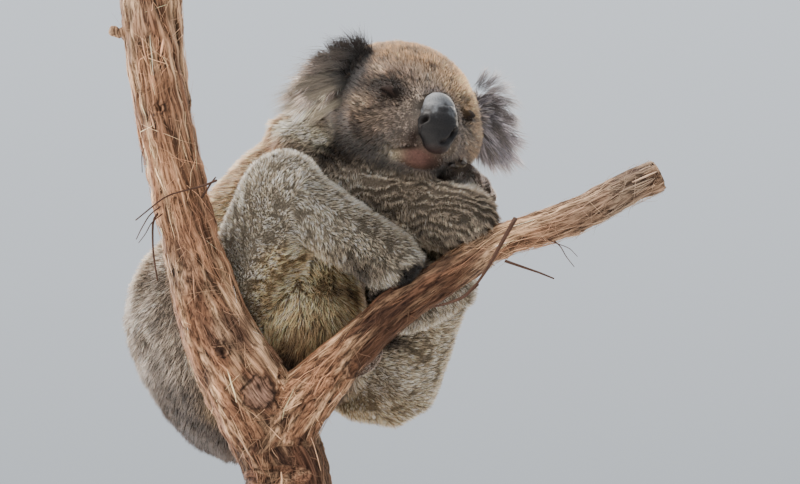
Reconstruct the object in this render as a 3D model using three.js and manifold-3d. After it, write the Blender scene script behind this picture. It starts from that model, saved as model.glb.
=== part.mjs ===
// A life-size koala asleep in a tree fork, held by a plain display stand.
// Millimetres, +Z up. The origin is the centre of the stand base's underside. The koala's right
// side faces -Y, its back -X, and +X is where the perch's long limb points.
// The solids give the outline out to the tips of the coat.
import * as THREE from "three";
import { mergeVertices } from "three/addons/utils/BufferGeometryUtils.js";
import Module from "manifold-3d";

const wasm = await Module();
wasm.setup();

// ---------------------------------------------------------------- driving dimensions
const GAP = 0.8; // clearance where two pieces meet
const FACETING = 0.4; // how far a cut face may move when its slivers are merged
const FUR = { color: 0x8a7f72, roughness: 0.95, metalness: 0 };
const PALE_FUR = { color: 0xa8a092, roughness: 0.95, metalness: 0 };
const EAR_FUR = { color: 0x5f5653, roughness: 0.95, metalness: 0 };
const NOSE_SKIN = { color: 0x3a3a40, roughness: 0.6, metalness: 0 };
const PAW_FUR = { color: 0x5a524b, roughness: 0.9, metalness: 0 };
const CLAW_HORN = { color: 0x26211f, roughness: 0.4, metalness: 0 };
const BARK = { color: 0x8d6149, roughness: 0.9, metalness: 0 };
const OAK = { color: 0x8a6a48, roughness: 0.6, metalness: 0 };
const STEEL = { color: 0x9a9a9c, roughness: 0.35, metalness: 1 };

const v = (x, y, z) => new THREE.Vector3(x, y, z);
const degrees = THREE.MathUtils.degToRad;

const BASE = { width: 480, depth: 380, height: 24, edge: 4, cornerRadius: 30 };
const ROD = { radius: 8, spacing: 40, socketDepth: 45 };
const STEM_FOOT = v(2, -50, 150); // the sawn end that stands on the rods

// The head's frame: x to the animal's left, -y along the muzzle, z to the crown.
const HEAD = {
  centre: v(91, -50, 603),
  roll: degrees(8),
  yaw: degrees(27),
  pitch: degrees(4),
};

// Joints of the right (near) and left (far) side.
const RIGHT = {
  shoulder: v(36, -34, 538),
  elbow: v(149, -86, 497),
  wrist: v(143, -20, 541),
  hip: v(-60, -10, 416),
  knee: v(-16, -98, 518),
  ankle: v(85, -93, 455),
};
const LEFT = {
  shoulder: v(72, 62, 548),
  elbow: v(139, 42, 520),
  wrist: v(164, -34, 481),
  hip: v(40, 92, 412),
  knee: v(134, 46, 466),
  ankle: v(92, -34, 424),
};

// ---------------------------------------------------------------- forms as distance fields
// A field gives a point's distance outside a form, and is negative inside.
function ball(centre, radii, turn = new THREE.Quaternion()) {
  const back = turn.clone().invert();
  return (point) => {
    const p = point.clone().sub(centre).applyQuaternion(back);
    const near = p.clone().divide(radii);
    const steep = near.clone().divide(radii).length();
    return steep < 1e-9 ? -Math.min(radii.x, radii.y, radii.z) : (near.length() * (near.length() - 1)) / steep;
  };
}

const round = (centre, radius) => (point) => point.distanceTo(centre) - radius;

function bone(start, end, startRadius, endRadius) {
  const axis = new THREE.Line3(start, end);
  const nearest = new THREE.Vector3();
  return (point) => {
    const along = axis.closestPointToPointParameter(point, true);
    axis.at(along, nearest);
    return point.distanceTo(nearest) - THREE.MathUtils.lerp(startRadius, endRadius, along);
  };
}

// Joins fields with a fillet about as wide as `softness`.
function blend(softness, ...fields) {
  return (point) =>
    fields
      .map((field) => field(point))
      .reduce((a, b) => {
        const share = Math.max(softness - Math.abs(a - b), 0) / softness;
        return Math.min(a, b) - (share * share * softness) / 4;
      });
}

const without = (field, hollow) => (point) => Math.max(field(point), -hollow(point));

// ---------------------------------------------------------------- skins over the fields
function bare(geometry) {
  geometry.deleteAttribute("normal");
  geometry.deleteAttribute("uv");
  return mergeVertices(geometry, 1e-4);
}

// Moves each vertex out along the ray from `core` to the surface of the field, plus `grow`.
function pushOut(geometry, field, rayOf, grow) {
  const position = geometry.getAttribute("position");
  const vertex = new THREE.Vector3();
  const probe = new THREE.Vector3();
  for (let i = 0; i < position.count; i++) {
    const { core, direction } = rayOf(vertex.fromBufferAttribute(position, i));
    const depthAt = (t) => field(probe.copy(direction).multiplyScalar(t).add(core)) - grow;
    let inside = 0;
    let step = Math.max(-depthAt(0) * 0.7, 0.5);
    while (depthAt(inside + step) < 0 && inside < 400) {
      inside += step;
      step = Math.max(-depthAt(inside) * 0.7, 0.5);
    }
    let outside = inside + step;
    for (let halving = 0; halving < 14; halving++) {
      const middle = (inside + outside) / 2;
      if (depthAt(middle) < 0) inside = middle;
      else outside = middle;
    }
    vertex.copy(direction).multiplyScalar(outside).add(core);
    position.setXYZ(i, vertex.x, vertex.y, vertex.z);
  }
  return geometry;
}

// A skin all round one centre, with its poles along `pole`.
function roundSkin(field, centre, { around, rows, pole = v(0, 0, 1) }, grow) {
  const geometry = bare(new THREE.SphereGeometry(1, around, rows));
  const turn = new THREE.Quaternion().setFromUnitVectors(v(0, 1, 0), pole.clone().normalize());
  const rayOf = (vertex) => ({ core: centre, direction: vertex.clone().normalize().applyQuaternion(turn) });
  return pushOut(geometry, field, rayOf, grow);
}

// A skin along the line from start to end, with a round cap at each.
function longSkin(field, start, end, { around, rows, caps }, grow) {
  const length = start.distanceTo(end);
  const geometry = bare(new THREE.CapsuleGeometry(1, length, caps, around, rows));
  const turn = new THREE.Quaternion().setFromUnitVectors(v(0, 1, 0), end.clone().sub(start).normalize());
  const rayOf = (vertex) => {
    const along = THREE.MathUtils.clamp(vertex.y / length + 0.5, 0, 1);
    const nearest = v(0, (along - 0.5) * length, 0);
    return {
      core: start.clone().lerp(end, along),
      direction: vertex.clone().sub(nearest).normalize().applyQuaternion(turn),
    };
  };
  return pushOut(geometry, field, rayOf, grow);
}

// Bends a cylinder or capsule of radius 1 and height `height` to a curve, with a radius of
// radiusAt(share) along it, plus `grow`.
function bend(geometry, height, curve, radiusAt, grow) {
  const position = geometry.getAttribute("position");
  const steps = 60;
  const frames = curve.computeFrenetFrames(steps, false);
  for (let i = 0; i < position.count; i++) {
    const along = THREE.MathUtils.clamp(position.getY(i) / height + 0.5, 0, 1);
    const past = position.getY(i) - (along - 0.5) * height;
    const frame = Math.round(along * steps);
    const radius = radiusAt(along, Math.atan2(position.getZ(i), position.getX(i))) + grow;
    const vertex = curve.getPointAt(along);
    vertex.addScaledVector(frames.normals[frame], position.getX(i) * radius);
    vertex.addScaledVector(frames.binormals[frame], position.getZ(i) * radius);
    vertex.addScaledVector(frames.tangents[frame], past * radius);
    position.setXYZ(i, vertex.x, vertex.y, vertex.z);
  }
  // The frames may be left-handed against the cylinder's own x, y and z, so turn the faces to suit.
  const volume = signedVolume(geometry);
  if (volume < 0) {
    const index = geometry.getIndex();
    for (let i = 0; i < index.count; i += 3) {
      const first = index.getX(i);
      index.setX(i, index.getX(i + 1));
      index.setX(i + 1, first);
    }
  }
  return geometry;
}

function signedVolume(geometry) {
  const position = geometry.getAttribute("position");
  const index = geometry.getIndex();
  const corner = (i) => new THREE.Vector3().fromBufferAttribute(position, index.getX(i));
  let sum = 0;
  for (let i = 0; i < index.count; i += 3) sum += corner(i).dot(corner(i + 1).cross(corner(i + 2)));
  return sum / 6;
}

function sausage(curve, radiusAt, { around, rows, caps }, grow) {
  const geometry = bare(new THREE.CapsuleGeometry(1, 1, caps, around, rows));
  return bend(geometry, 1, curve, radiusAt, grow);
}

function log(curve, radiusAt, { around, rows }, grow) {
  const geometry = bare(new THREE.CylinderGeometry(1, 1, 1, around, rows));
  return bend(geometry, 1, curve, radiusAt, grow);
}

// ---------------------------------------------------------------- solids
function solid(geometry) {
  const triVerts = new Uint32Array(geometry.getIndex().array);
  const vertProperties = new Float32Array(geometry.getAttribute("position").array);
  return new wasm.Manifold(new wasm.Mesh({ numProp: 3, vertProperties, triVerts }));
}

const joined = (solids) => solids.reduce((a, b) => a.add(b));

function biggest(cutSolid) {
  return cutSolid.decompose().reduce((a, b) => (a.volume() > b.volume() ? a : b));
}

function meshOf(name, shape, finish) {
  const cut = shape.getMesh();
  const geometry = new THREE.BufferGeometry();
  geometry.setAttribute("position", new THREE.BufferAttribute(new Float32Array(cut.vertProperties), 3));
  geometry.setIndex(new THREE.BufferAttribute(new Uint32Array(cut.triVerts), 1));
  geometry.computeVertexNormals();
  const mesh = new THREE.Mesh(geometry, new THREE.MeshStandardMaterial(finish));
  mesh.name = name;
  return mesh;
}

// ---------------------------------------------------------------- the perch
const leftLimb = new THREE.CatmullRomCurve3([
  STEM_FOOT,
  v(-2, -52, 205),
  v(-10, -55, 262),
  v(-25, -64, 302),
  v(-48, -76, 343),
  v(-66, -85, 376),
  v(-84, -98, 422),
  v(-108, -124, 506),
  v(-123, -150, 592),
  v(-134, -178, 686),
]);
const rightLimb = new THREE.CatmullRomCurve3([
  v(-24, -64, 300),
  v(4, -74, 334),
  v(38, -83, 368),
  v(84, -90, 410),
  v(143, -94, 450),
  v(181, -92, 475),
  v(216, -90, 487),
  v(255, -88, 502),
  v(292, -88, 522),
  v(328, -88, 539),
]);
const rearLimb = new THREE.CatmullRomCurve3([
  v(-14, -58, 262),
  v(-22, -8, 272),
  v(-28, 48, 292),
  v(-34, 112, 316),
]);

// Slow swellings that keep a limb from being a true tube.
const knobbly = (radius, amount, seed) => (along, angle) =>
  radius(along) * (1 + amount * Math.sin(along * 17 + seed + 2 * Math.sin(angle + seed)));

const taper = (radii) => (along) => {
  const place = along * (radii.length - 1);
  const before = Math.min(Math.floor(place), radii.length - 2);
  return THREE.MathUtils.lerp(radii[before], radii[before + 1], place - before);
};

const leftRadius = taper([38, 37, 38, 39, 35, 30, 26, 24.5, 24.5, 26, 28]);
const rightRadius = taper([34, 27, 20, 17, 16.5, 16, 14.5, 15.5, 16, 15]);
const rearRadius = taper([30, 27, 25, 24]);

function perchSolid(grow) {
  return joined([
    solid(log(leftLimb, knobbly(leftRadius, 0.04, 1), { around: 10, rows: 15 }, grow)),
    solid(log(rightLimb, knobbly(rightRadius, 0.05, 2), { around: 9, rows: 12 }, grow)),
    solid(log(rearLimb, knobbly(rearRadius, 0.04, 4), { around: 9, rows: 3 }, grow)),
    ...knots(grow),
  ]);
}

// Short broken twigs and healed knots on the limbs.
function knots(grow) {
  const twigs = [
    { root: v(-126, -166, 636), tip: v(-170, -174, 650), radius: 7 },
    { root: v(10, -80, 345), tip: v(30, -108, 342), radius: 9 },
    { root: v(-30, -80, 330), tip: v(-34, -104, 332), radius: 11 },
    { root: v(-74, -95, 395), tip: v(-72, -126, 398), radius: 8 },
  ];
  return twigs.map(({ root, tip, radius }) => {
    const line = new THREE.LineCurve3(root, tip);
    return solid(sausage(line, (along) => radius * (1 - 0.45 * along), { around: 6, rows: 1, caps: 1 }, grow));
  });
}

// ---------------------------------------------------------------- the head
const headTurn = new THREE.Quaternion()
  .setFromAxisAngle(v(0, 1, 0), HEAD.roll)
  .multiply(new THREE.Quaternion().setFromAxisAngle(v(0, 0, 1), HEAD.yaw))
  .multiply(new THREE.Quaternion().setFromAxisAngle(v(1, 0, 0), HEAD.pitch));
const onHead = (x, y, z) => v(x, y, z).applyQuaternion(headTurn).add(HEAD.centre);
const headBall = (centre, radii, tilt = 0, axis = v(1, 0, 0)) =>
  ball(onHead(...centre), v(...radii), headTurn.clone().multiply(new THREE.Quaternion().setFromAxisAngle(axis, tilt)));

const headField = blend(
  18,
  headBall([0, 10, 19], [74, 72, 61]),
  headBall([-36, -12, -8], [42, 48, 42]),
  headBall([36, -12, -8], [40, 48, 42]),
  headBall([0, -50, -12], [35, 36, 34]),
  headBall([0, -46, -38], [28, 30, 17]),
);
const noseField = blend(
  8,
  headBall([2, -74, 1], [17, 12, 17], degrees(-14)),
  headBall([2, -79, -14], [20, 13, 20], degrees(-4)),
  headBall([2, -79, -30], [16, 11, 12]),
);

// An ear is a shallow cup of fur that opens forwards. Its long axis droops outwards: the
// right ear is half raised, and the left lies closer to the head.
const EARS = {
  right: { side: -1, centre: [-90, -12, 20], long: 74, short: 21, thick: 16, droop: degrees(54) },
  left: { side: 1, centre: [92, -12, 17], long: 48, short: 26, thick: 16, droop: degrees(60) },
};
const EAR_HOLLOW = 0.62;
function earField({ side, centre: [x, y, z], long, short, thick, droop }) {
  const axis = v(0, 1, 0);
  const shell = headBall([x, y, z], [long, thick, short], side * droop, axis);
  const mouth = [x + 3 * side, y - 17, z - 2];
  const cup = headBall(mouth, [long * EAR_HOLLOW, thick, short * EAR_HOLLOW], side * droop, axis);
  return without(shell, cup);
}
const earRoot = ({ centre: [x, , z] }) => [x, -2, z];

// Closed lids over each eye, a low dome set into the side of the muzzle's root.
const lidsField = (side) => headBall([side * 38, -55, 8], [12, 9, 9], side * degrees(14), v(0, 1, 0));

// ---------------------------------------------------------------- trunk and limbs
const rumpUpper = v(-76, 34, 432);
const rumpLower = v(-58, 47, 382);
const chestCentre = v(-5, 6, 526);
const neckBase = v(18, -14, 564);
const trunkCentre = v(-45, 28, 445);

const trunkField = blend(
  24,
  bone(rumpUpper, chestCentre, 101, 81),
  bone(rumpLower, v(-8, 42, 404), 88, 68),
  round(v(-4, -10, 424), 62),
  bone(v(60, 50, 535), chestCentre, 44, 60),
  bone(chestCentre, neckBase, 72, 60),
);
const neckField = bone(neckBase, onHead(-14, 34, 0), 74, 62);

const limbField = {
  right_upper_arm: blend(8, bone(RIGHT.shoulder, RIGHT.elbow, 35, 32), round(RIGHT.elbow, 33)),
  left_upper_arm: bone(LEFT.shoulder, LEFT.elbow, 40, 30),
  right_forearm: bone(RIGHT.elbow, RIGHT.wrist, 31, 22),
  left_forearm: bone(LEFT.elbow, LEFT.wrist, 28, 21),
  right_thigh: blend(10, bone(RIGHT.hip, RIGHT.knee, 56, 40), round(RIGHT.knee, 39)),
  left_thigh: blend(24, bone(LEFT.hip, LEFT.knee, 54, 33), round(v(75, 88, 398), 66)),
  right_shin: blend(8, bone(RIGHT.knee, RIGHT.ankle, 36, 30), round(RIGHT.knee, 36)),
  left_shin: bone(LEFT.knee, LEFT.ankle, 32, 24),
};

// ---------------------------------------------------------------- hands and feet
// A point beside a perch limb: `along` it, turned by `angle` (0 at the back, 90 above, 180 in
// front), `reach` from its axis.
function beside(limb, along, angle, reach) {
  const axis = limb.getPointAt(along);
  const forward = limb.getTangentAt(along);
  const behind = v(0, 1, 0).addScaledVector(forward, -forward.y).normalize();
  const above = v(0, 0, 1).addScaledVector(forward, -forward.z);
  above.addScaledVector(behind, -above.dot(behind)).normalize();
  return axis
    .addScaledVector(behind, Math.cos(degrees(angle)) * reach)
    .addScaledVector(above, Math.sin(degrees(angle)) * reach);
}

// A digit that curls round a perch limb from one angle to another, drifting along it.
function grippingDigit(limb, along, drift, from, to, radius) {
  const limbRadius = limb === rightLimb ? rightRadius : leftRadius;
  const points = [];
  for (let step = 0; step <= 4; step++) {
    const share = step / 4;
    const place = along + drift * share;
    points.push(beside(limb, place, THREE.MathUtils.lerp(from, to, share), limbRadius(place) * 1.06 + radius));
  }
  return { curve: new THREE.CatmullRomCurve3(points), radius };
}

const foldedDigit = (radius, ...points) => ({ curve: new THREE.CatmullRomCurve3(points), radius });

// Each paw is a pad with its digits; a digit with `claw` ends in one that long.
const paws = {
  right_hand: {
    pad: { centre: v(141, -46, 546), radii: v(20, 16, 15) },
    digits: [
      { ...foldedDigit(7.5, v(136, -44, 552), v(130, -60, 560), v(134, -72, 556)), claw: 13 },
      { ...foldedDigit(7.5, v(146, -44, 554), v(143, -60, 562), v(147, -73, 556)), claw: 13 },
      { ...foldedDigit(6.5, v(152, -46, 551), v(158, -56, 554), v(162, -64, 545), v(163, -66, 535)), claw: 11 },
      { ...foldedDigit(6.5, v(154, -40, 548), v(165, -48, 550), v(171, -55, 541), v(172, -57, 531)), claw: 11 },
      { ...foldedDigit(6, v(155, -32, 544), v(168, -36, 545), v(176, -42, 537), v(178, -46, 528)), claw: 11 },
    ],
  },
  left_hand: {
    pad: { centre: beside(rightLimb, 0.575, 22, 29), radii: v(24, 13, 15) },
    digits: [0.545, 0.58, 0.545, 0.58, 0.615].map((along, i) => ({
      ...grippingDigit(rightLimb, along, 0.01, i < 2 ? 30 : 10, i < 2 ? 66 : -12, 6),
      claw: 11,
    })),
  },
  right_foot: {
    pad: { centre: beside(rightLimb, 0.43, 22, 30), radii: v(40, 14, 18) },
    digits: [0.41, 0.445, 0.48, 0.515].map((along) => ({
      ...grippingDigit(rightLimb, along, -0.02, 25, -8, 7),
      claw: 9,
    })),
    hallux: grippingDigit(rightLimb, 0.4, -0.05, 20, 82, 8),
  },
  left_foot: {
    pad: { centre: beside(rightLimb, 0.25, -5, 36), radii: v(34, 16, 19) },
    digits: [0.2, 0.235, 0.27, 0.305].map((along) => ({
      ...grippingDigit(rightLimb, along, 0.02, -15, 28, 7),
      claw: 10,
    })),
    hallux: grippingDigit(rightLimb, 0.33, 0.02, -10, 34, 8),
  },
};

const limbSlope = rightLimb.getTangentAt(0.4);
const alongLimb = new THREE.Quaternion().setFromUnitVectors(v(1, 0, 0), limbSlope);

function pawSolid(name, grow) {
  const { pad, digits, hallux } = paws[name];
  const turn = name === "right_hand" ? new THREE.Quaternion() : alongLimb;
  const sole = roundSkin(ball(pad.centre, pad.radii, turn), pad.centre, { around: 7, rows: 4 }, grow);
  const fingers = [...digits, ...(hallux ? [hallux] : [])].map(({ curve, radius }) =>
    solid(sausage(curve, (along) => radius * (1 - 0.15 * along), { around: 5, rows: 3, caps: 1 }, grow)),
  );
  return joined([solid(sole), ...fingers]);
}

// A claw starts inside the tip of its digit and curves on the way the digit bends.
function clawCurve({ curve, claw }) {
  const root = curve.getPointAt(0.97);
  const forward = curve.getTangentAt(1);
  const bendWay = curve.getTangentAt(1).sub(curve.getTangentAt(0.7));
  const knuckle = root.clone().addScaledVector(forward, claw * 0.55);
  const tip = root.clone().addScaledVector(forward, claw).addScaledVector(bendWay.normalize(), claw * 0.35);
  return new THREE.CatmullRomCurve3([root, knuckle, tip]);
}

const clawSolid = (digit, grow) =>
  solid(sausage(clawCurve(digit), (along) => 3 * (1 - 0.85 * along), { around: 5, rows: 2, caps: 1 }, grow));

// ---------------------------------------------------------------- the stand
const rodPlaces = [-1, 1].map((side) => v(STEM_FOOT.x + (side * ROD.spacing) / 2, STEM_FOOT.y, 0));
const rodLength = STEM_FOOT.z + ROD.socketDepth - BASE.height;

function standRod(name, place) {
  const rod = new THREE.Mesh(
    new THREE.CylinderGeometry(ROD.radius, ROD.radius, rodLength - GAP, 14),
    new THREE.MeshStandardMaterial(STEEL),
  );
  rod.name = name;
  rod.rotation.x = Math.PI / 2;
  rod.position.set(place.x, place.y, BASE.height + GAP + (rodLength - GAP) / 2);
  return rod;
}

function rodSocket(place) {
  const geometry = bare(new THREE.CylinderGeometry(ROD.radius + GAP, ROD.radius + GAP, rodLength, 14));
  geometry.rotateX(Math.PI / 2);
  geometry.translate(place.x, place.y, BASE.height + GAP + rodLength / 2);
  return solid(geometry);
}

function standBase() {
  const { width, depth, height, edge, cornerRadius } = BASE;
  const [x, y, r] = [width / 2 - edge, depth / 2 - edge, cornerRadius];
  const outline = new THREE.Shape();
  outline.moveTo(r - x, -y);
  outline.absarc(x - r, r - y, r, -Math.PI / 2, 0);
  outline.absarc(x - r, y - r, r, 0, Math.PI / 2);
  outline.absarc(r - x, y - r, r, Math.PI / 2, Math.PI);
  outline.absarc(r - x, r - y, r, Math.PI, (3 * Math.PI) / 2);
  const geometry = new THREE.ExtrudeGeometry(outline, {
    depth: height - 2 * edge,
    bevelThickness: edge,
    bevelSize: edge,
    bevelSegments: 1,
    curveSegments: 3,
  });
  geometry.translate(0, 0, edge);
  const base = new THREE.Mesh(geometry, new THREE.MeshStandardMaterial(OAK));
  base.name = "stand_base";
  return base;
}

// ---------------------------------------------------------------- parting
// The pieces in the order in which they keep their shape: each is cut by all those before it.
const LIMB_GRID = { around: 9, rows: 2, caps: 2 };
const ELBOW_GRID = { around: 10, rows: 2, caps: 3 };
const HAUNCH_GRID = { around: 12, rows: 3, caps: 3 };
const limbLine = {
  right_upper_arm: [RIGHT.shoulder, RIGHT.elbow],
  left_upper_arm: [LEFT.shoulder, LEFT.elbow],
  right_forearm: [RIGHT.elbow, RIGHT.wrist],
  left_forearm: [LEFT.elbow, LEFT.wrist],
  right_thigh: [RIGHT.hip, RIGHT.knee],
  left_thigh: [LEFT.hip, LEFT.knee],
  right_shin: [RIGHT.knee, RIGHT.ankle],
  left_shin: [LEFT.knee, LEFT.ankle],
};
const limbPiece = (name, finish, grid = LIMB_GRID) => ({
  name,
  finish,
  make: (grow) => solid(longSkin(limbField[name], ...limbLine[name], grid, grow)),
});
const EAR_GRID = { around: 16, rows: 8, pole: v(0, -1, 0) };
const headPiece = (name, finish, field, centre, { around, rows, pole = v(0, 0, 1) }) => {
  const grid = { around, rows, pole: pole.clone().applyQuaternion(headTurn) };
  return { name, finish, make: (grow) => solid(roundSkin(field, onHead(...centre), grid, grow)) };
};

const clawPieces = Object.entries(paws).flatMap(([paw, { digits }]) =>
  digits.map((digit, i) => ({
    name: `${paw}_claw_${i + 1}`,
    finish: CLAW_HORN,
    make: (grow) => clawSolid(digit, grow),
  })),
);
const pawPieces = Object.keys(paws).map((name) => ({
  name,
  finish: PAW_FUR,
  make: (grow) => pawSolid(name, grow),
}));

const pieces = [
  {
    name: "perch",
    finish: BARK,
    make: (grow) => rodPlaces.reduce((wood, place) => wood.subtract(rodSocket(place)), perchSolid(grow)),
  },
  ...clawPieces,
  ...pawPieces,
  headPiece("nose", NOSE_SKIN, noseField, [0, -76, -14], { around: 11, rows: 7 }),
  headPiece("right_eyelids", FUR, lidsField(-1), [-38, -55, 8], { around: 7, rows: 4 }),
  headPiece("left_eyelids", FUR, lidsField(1), [38, -55, 8], { around: 7, rows: 4 }),
  headPiece("right_ear", EAR_FUR, earField(EARS.right), earRoot(EARS.right), EAR_GRID),
  headPiece("left_ear", EAR_FUR, earField(EARS.left), earRoot(EARS.left), EAR_GRID),
  limbPiece("right_forearm", FUR),
  limbPiece("left_forearm", FUR),
  limbPiece("right_upper_arm", FUR, ELBOW_GRID),
  limbPiece("left_upper_arm", FUR),
  headPiece("head", FUR, headField, [0, -6, 4], { around: 17, rows: 12 }),
  limbPiece("right_shin", PALE_FUR),
  limbPiece("left_shin", PALE_FUR),
  limbPiece("right_thigh", PALE_FUR, ELBOW_GRID),
  limbPiece("left_thigh", PALE_FUR, HAUNCH_GRID),
  {
    name: "neck",
    finish: FUR,
    make: (grow) => solid(longSkin(neckField, neckBase, onHead(-14, 34, 0), { around: 11, rows: 1, caps: 2 }, grow)),
  },
  {
    name: "trunk",
    finish: FUR,
    make: (grow) => solid(roundSkin(trunkField, trunkCentre, { around: 19, rows: 13 }, grow)),
  },
];

const koala = new THREE.Group();
const cutters = [];
for (const { name, finish, make } of pieces) {
  const whole = make(0);
  const parted = cutters.reduce((rest, cutter) => rest.subtract(cutter), whole);
  koala.add(meshOf(name, biggest(parted.simplify(FACETING)), finish));
  cutters.push(make(GAP));
}
koala.add(standBase());
rodPlaces.forEach((place, i) => koala.add(standRod(`stand_rod_${i + 1}`, place)));

export default koala;
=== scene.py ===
"""The looks of a life-size koala asleep in a tree fork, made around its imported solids.

Metres, in the frame of the solids: +Z up, the koala's right side towards -Y. Where a comment
says mm, the values are in millimetres.
"""

import itertools
import logging
import math
from collections.abc import Iterable
from dataclasses import dataclass, field
from enum import Enum

import bpy
import numpy as np
from mathutils import Matrix, Vector
from mathutils.bvhtree import BVHTree
from mathutils.kdtree import KDTree


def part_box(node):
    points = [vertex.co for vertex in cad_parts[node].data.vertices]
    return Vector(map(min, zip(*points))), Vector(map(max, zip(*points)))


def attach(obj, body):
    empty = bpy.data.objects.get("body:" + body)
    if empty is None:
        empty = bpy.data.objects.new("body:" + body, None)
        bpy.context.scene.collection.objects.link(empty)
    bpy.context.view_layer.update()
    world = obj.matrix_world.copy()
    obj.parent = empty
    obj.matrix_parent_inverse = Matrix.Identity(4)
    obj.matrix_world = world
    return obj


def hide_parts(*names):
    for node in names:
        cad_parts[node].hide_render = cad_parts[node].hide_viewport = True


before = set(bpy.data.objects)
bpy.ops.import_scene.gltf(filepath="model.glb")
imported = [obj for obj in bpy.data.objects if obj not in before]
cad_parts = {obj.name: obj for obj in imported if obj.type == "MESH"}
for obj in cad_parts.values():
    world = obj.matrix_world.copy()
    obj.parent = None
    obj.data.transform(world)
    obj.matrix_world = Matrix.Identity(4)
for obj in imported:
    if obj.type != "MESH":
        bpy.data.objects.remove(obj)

Array = np.ndarray
Triple = tuple[float, float, float]
Line = tuple[tuple[float, ...], ...]
Pair = tuple[Array, Array]
Solid = Pair  # points and faces
Chance = np.random.Generator
Socket = bpy.types.NodeSocket
Material = bpy.types.Material
Piece = bpy.types.Object
log = logging.getLogger("koala")
SEED = 20
MM = 0.001
# Large primes that stir a cell's place into a value that looks random.
PRIMES = np.array([73856093, 19349663, 83492791])
STIR = 1274126177


# ---- numbers and noise
def norm(vectors: Array) -> Array:
    """Gives the vectors' lengths."""
    return np.linalg.norm(vectors, axis=-1)


def unit(vectors: Array) -> Array:
    """Gives the vectors scaled to length one."""
    return vectors / np.maximum(np.linalg.norm(vectors, axis=-1, keepdims=True), 1e-12)


def rise(low: float, high: float, values: Array) -> Array:
    """Gives a smooth step from 0 at `low` to 1 at `high`."""
    share = np.clip((values - low) / (high - low), 0, 1)
    return share * share * (3 - 2 * share)


def band(away: Array, width: float, power: int = 2) -> Array:
    """Gives 1 where a distance is nothing and less further away, the faster the narrower."""
    return np.exp(-((away / width) ** power))


def dome(points: Array, place: Array | Triple, size: Triple) -> Array:
    """Gives a soft bump of height 1 at `place` that fades over `size`."""
    away = (points - place) / size
    return np.exp(-(away * away).sum(axis=1))


def noise(points: Array, size: float, seed: int) -> Array:
    """Makes smooth noise between 0 and 1.

    Args:
        points: Where it is read, one row for each point.
        size: How far apart its swellings are, in mm.
        seed: Which of the many patterns it is.

    Returns:
        One value for each point.
    """
    place = points / (size * MM) + 31.7 * seed
    cell = np.floor(place).astype(np.int64)
    share = place - cell
    share = share * share * (3 - 2 * share)
    total = np.zeros(len(points))
    for corner in itertools.product((0, 1), repeat=3):
        key = (cell + corner) @ PRIMES
        key = ((key ^ (key >> 13)) * STIR) & 0xFFFFFFFF
        value = ((key ^ (key >> 15)) & 0xFFFF) / 0xFFFF
        total += value * np.prod(np.where(corner, share, 1 - share), axis=1)
    return total


def creased(points: Array, size: float, seed: int) -> Array:
    """Gives noise that is 1 along winding creases and falls off beside them."""
    return 1 - np.abs(2 * noise(points, size, seed) - 1)


def tint(code: str) -> Array:
    """Turns a colour such as "8a7f72" into linear red, green and blue."""
    shares = np.array([int(code[i : i + 2], 16) / 255 for i in (0, 2, 4)])
    return np.where(shares > 0.04045, ((shares + 0.055) / 1.055) ** 2.4, shares / 12.92)


def mixed(base: Array, other: Array, share: Array) -> Array:
    """Mixes one colour, or one for each point, into the base by a share for each point."""
    return base + (other - base) * np.clip(share, 0, 1)[:, None]


def turns(count: int) -> Array:
    """Gives angles spread evenly over a full turn."""
    return np.linspace(0, 2 * math.pi, count, endpoint=False)


def between(first: Array, second: Array, angle: Array) -> Array:
    """Gives the ways that lie at an angle from the first way towards the second."""
    return first * np.cos(angle)[:, None] + second * np.sin(angle)[:, None]


def flattened(ways: Array, normals: Array) -> Array:
    """Gives the ways laid flat on the surface with these normals."""
    return ways - normals * (ways * normals).sum(axis=1, keepdims=True)


def bent(start: Array, bend: Array, end: Array, share: Array) -> Array:
    """Gives places along the curve from start to end that leans towards a bend."""
    return (1 - share) ** 2 * start + 2 * share * (1 - share) * bend + share**2 * end


def rows_at(where: Array, known: Array, rows: Array) -> Array:
    """Reads rows that are known at rising places, at other places in between."""
    return np.stack([np.interp(where, known, column) for column in rows.T], axis=1)


def nearest_of(known: Array, points: Array) -> Array:
    """Gives the number of the known place that is nearest to each point."""
    tree = KDTree(len(known))
    for number, place in enumerate(known.tolist()):
        tree.insert(place, number)
    tree.balance()
    return np.array([tree.find(place)[1] for place in points.tolist()])


def nearest_face(solid: Solid, points: Array) -> Pair:
    """Gives the number of the solid's face nearest to each point, and how far off it is."""
    tree = BVHTree.FromPolygons(*(array.tolist() for array in solid))
    found = [tree.find_nearest(place)[2:] for place in points.tolist()]
    return np.array([number for number, _ in found]), np.array([away for _, away in found])


def joined(solids: Iterable[Solid]) -> Solid:
    """Gathers closed meshes into one."""
    points, faces = zip(*solids)
    starts = np.cumsum([0, *(len(own) for own in points[:-1])])
    return np.concatenate(points), np.concatenate([own + start for own, start in zip(faces, starts)])


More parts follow.
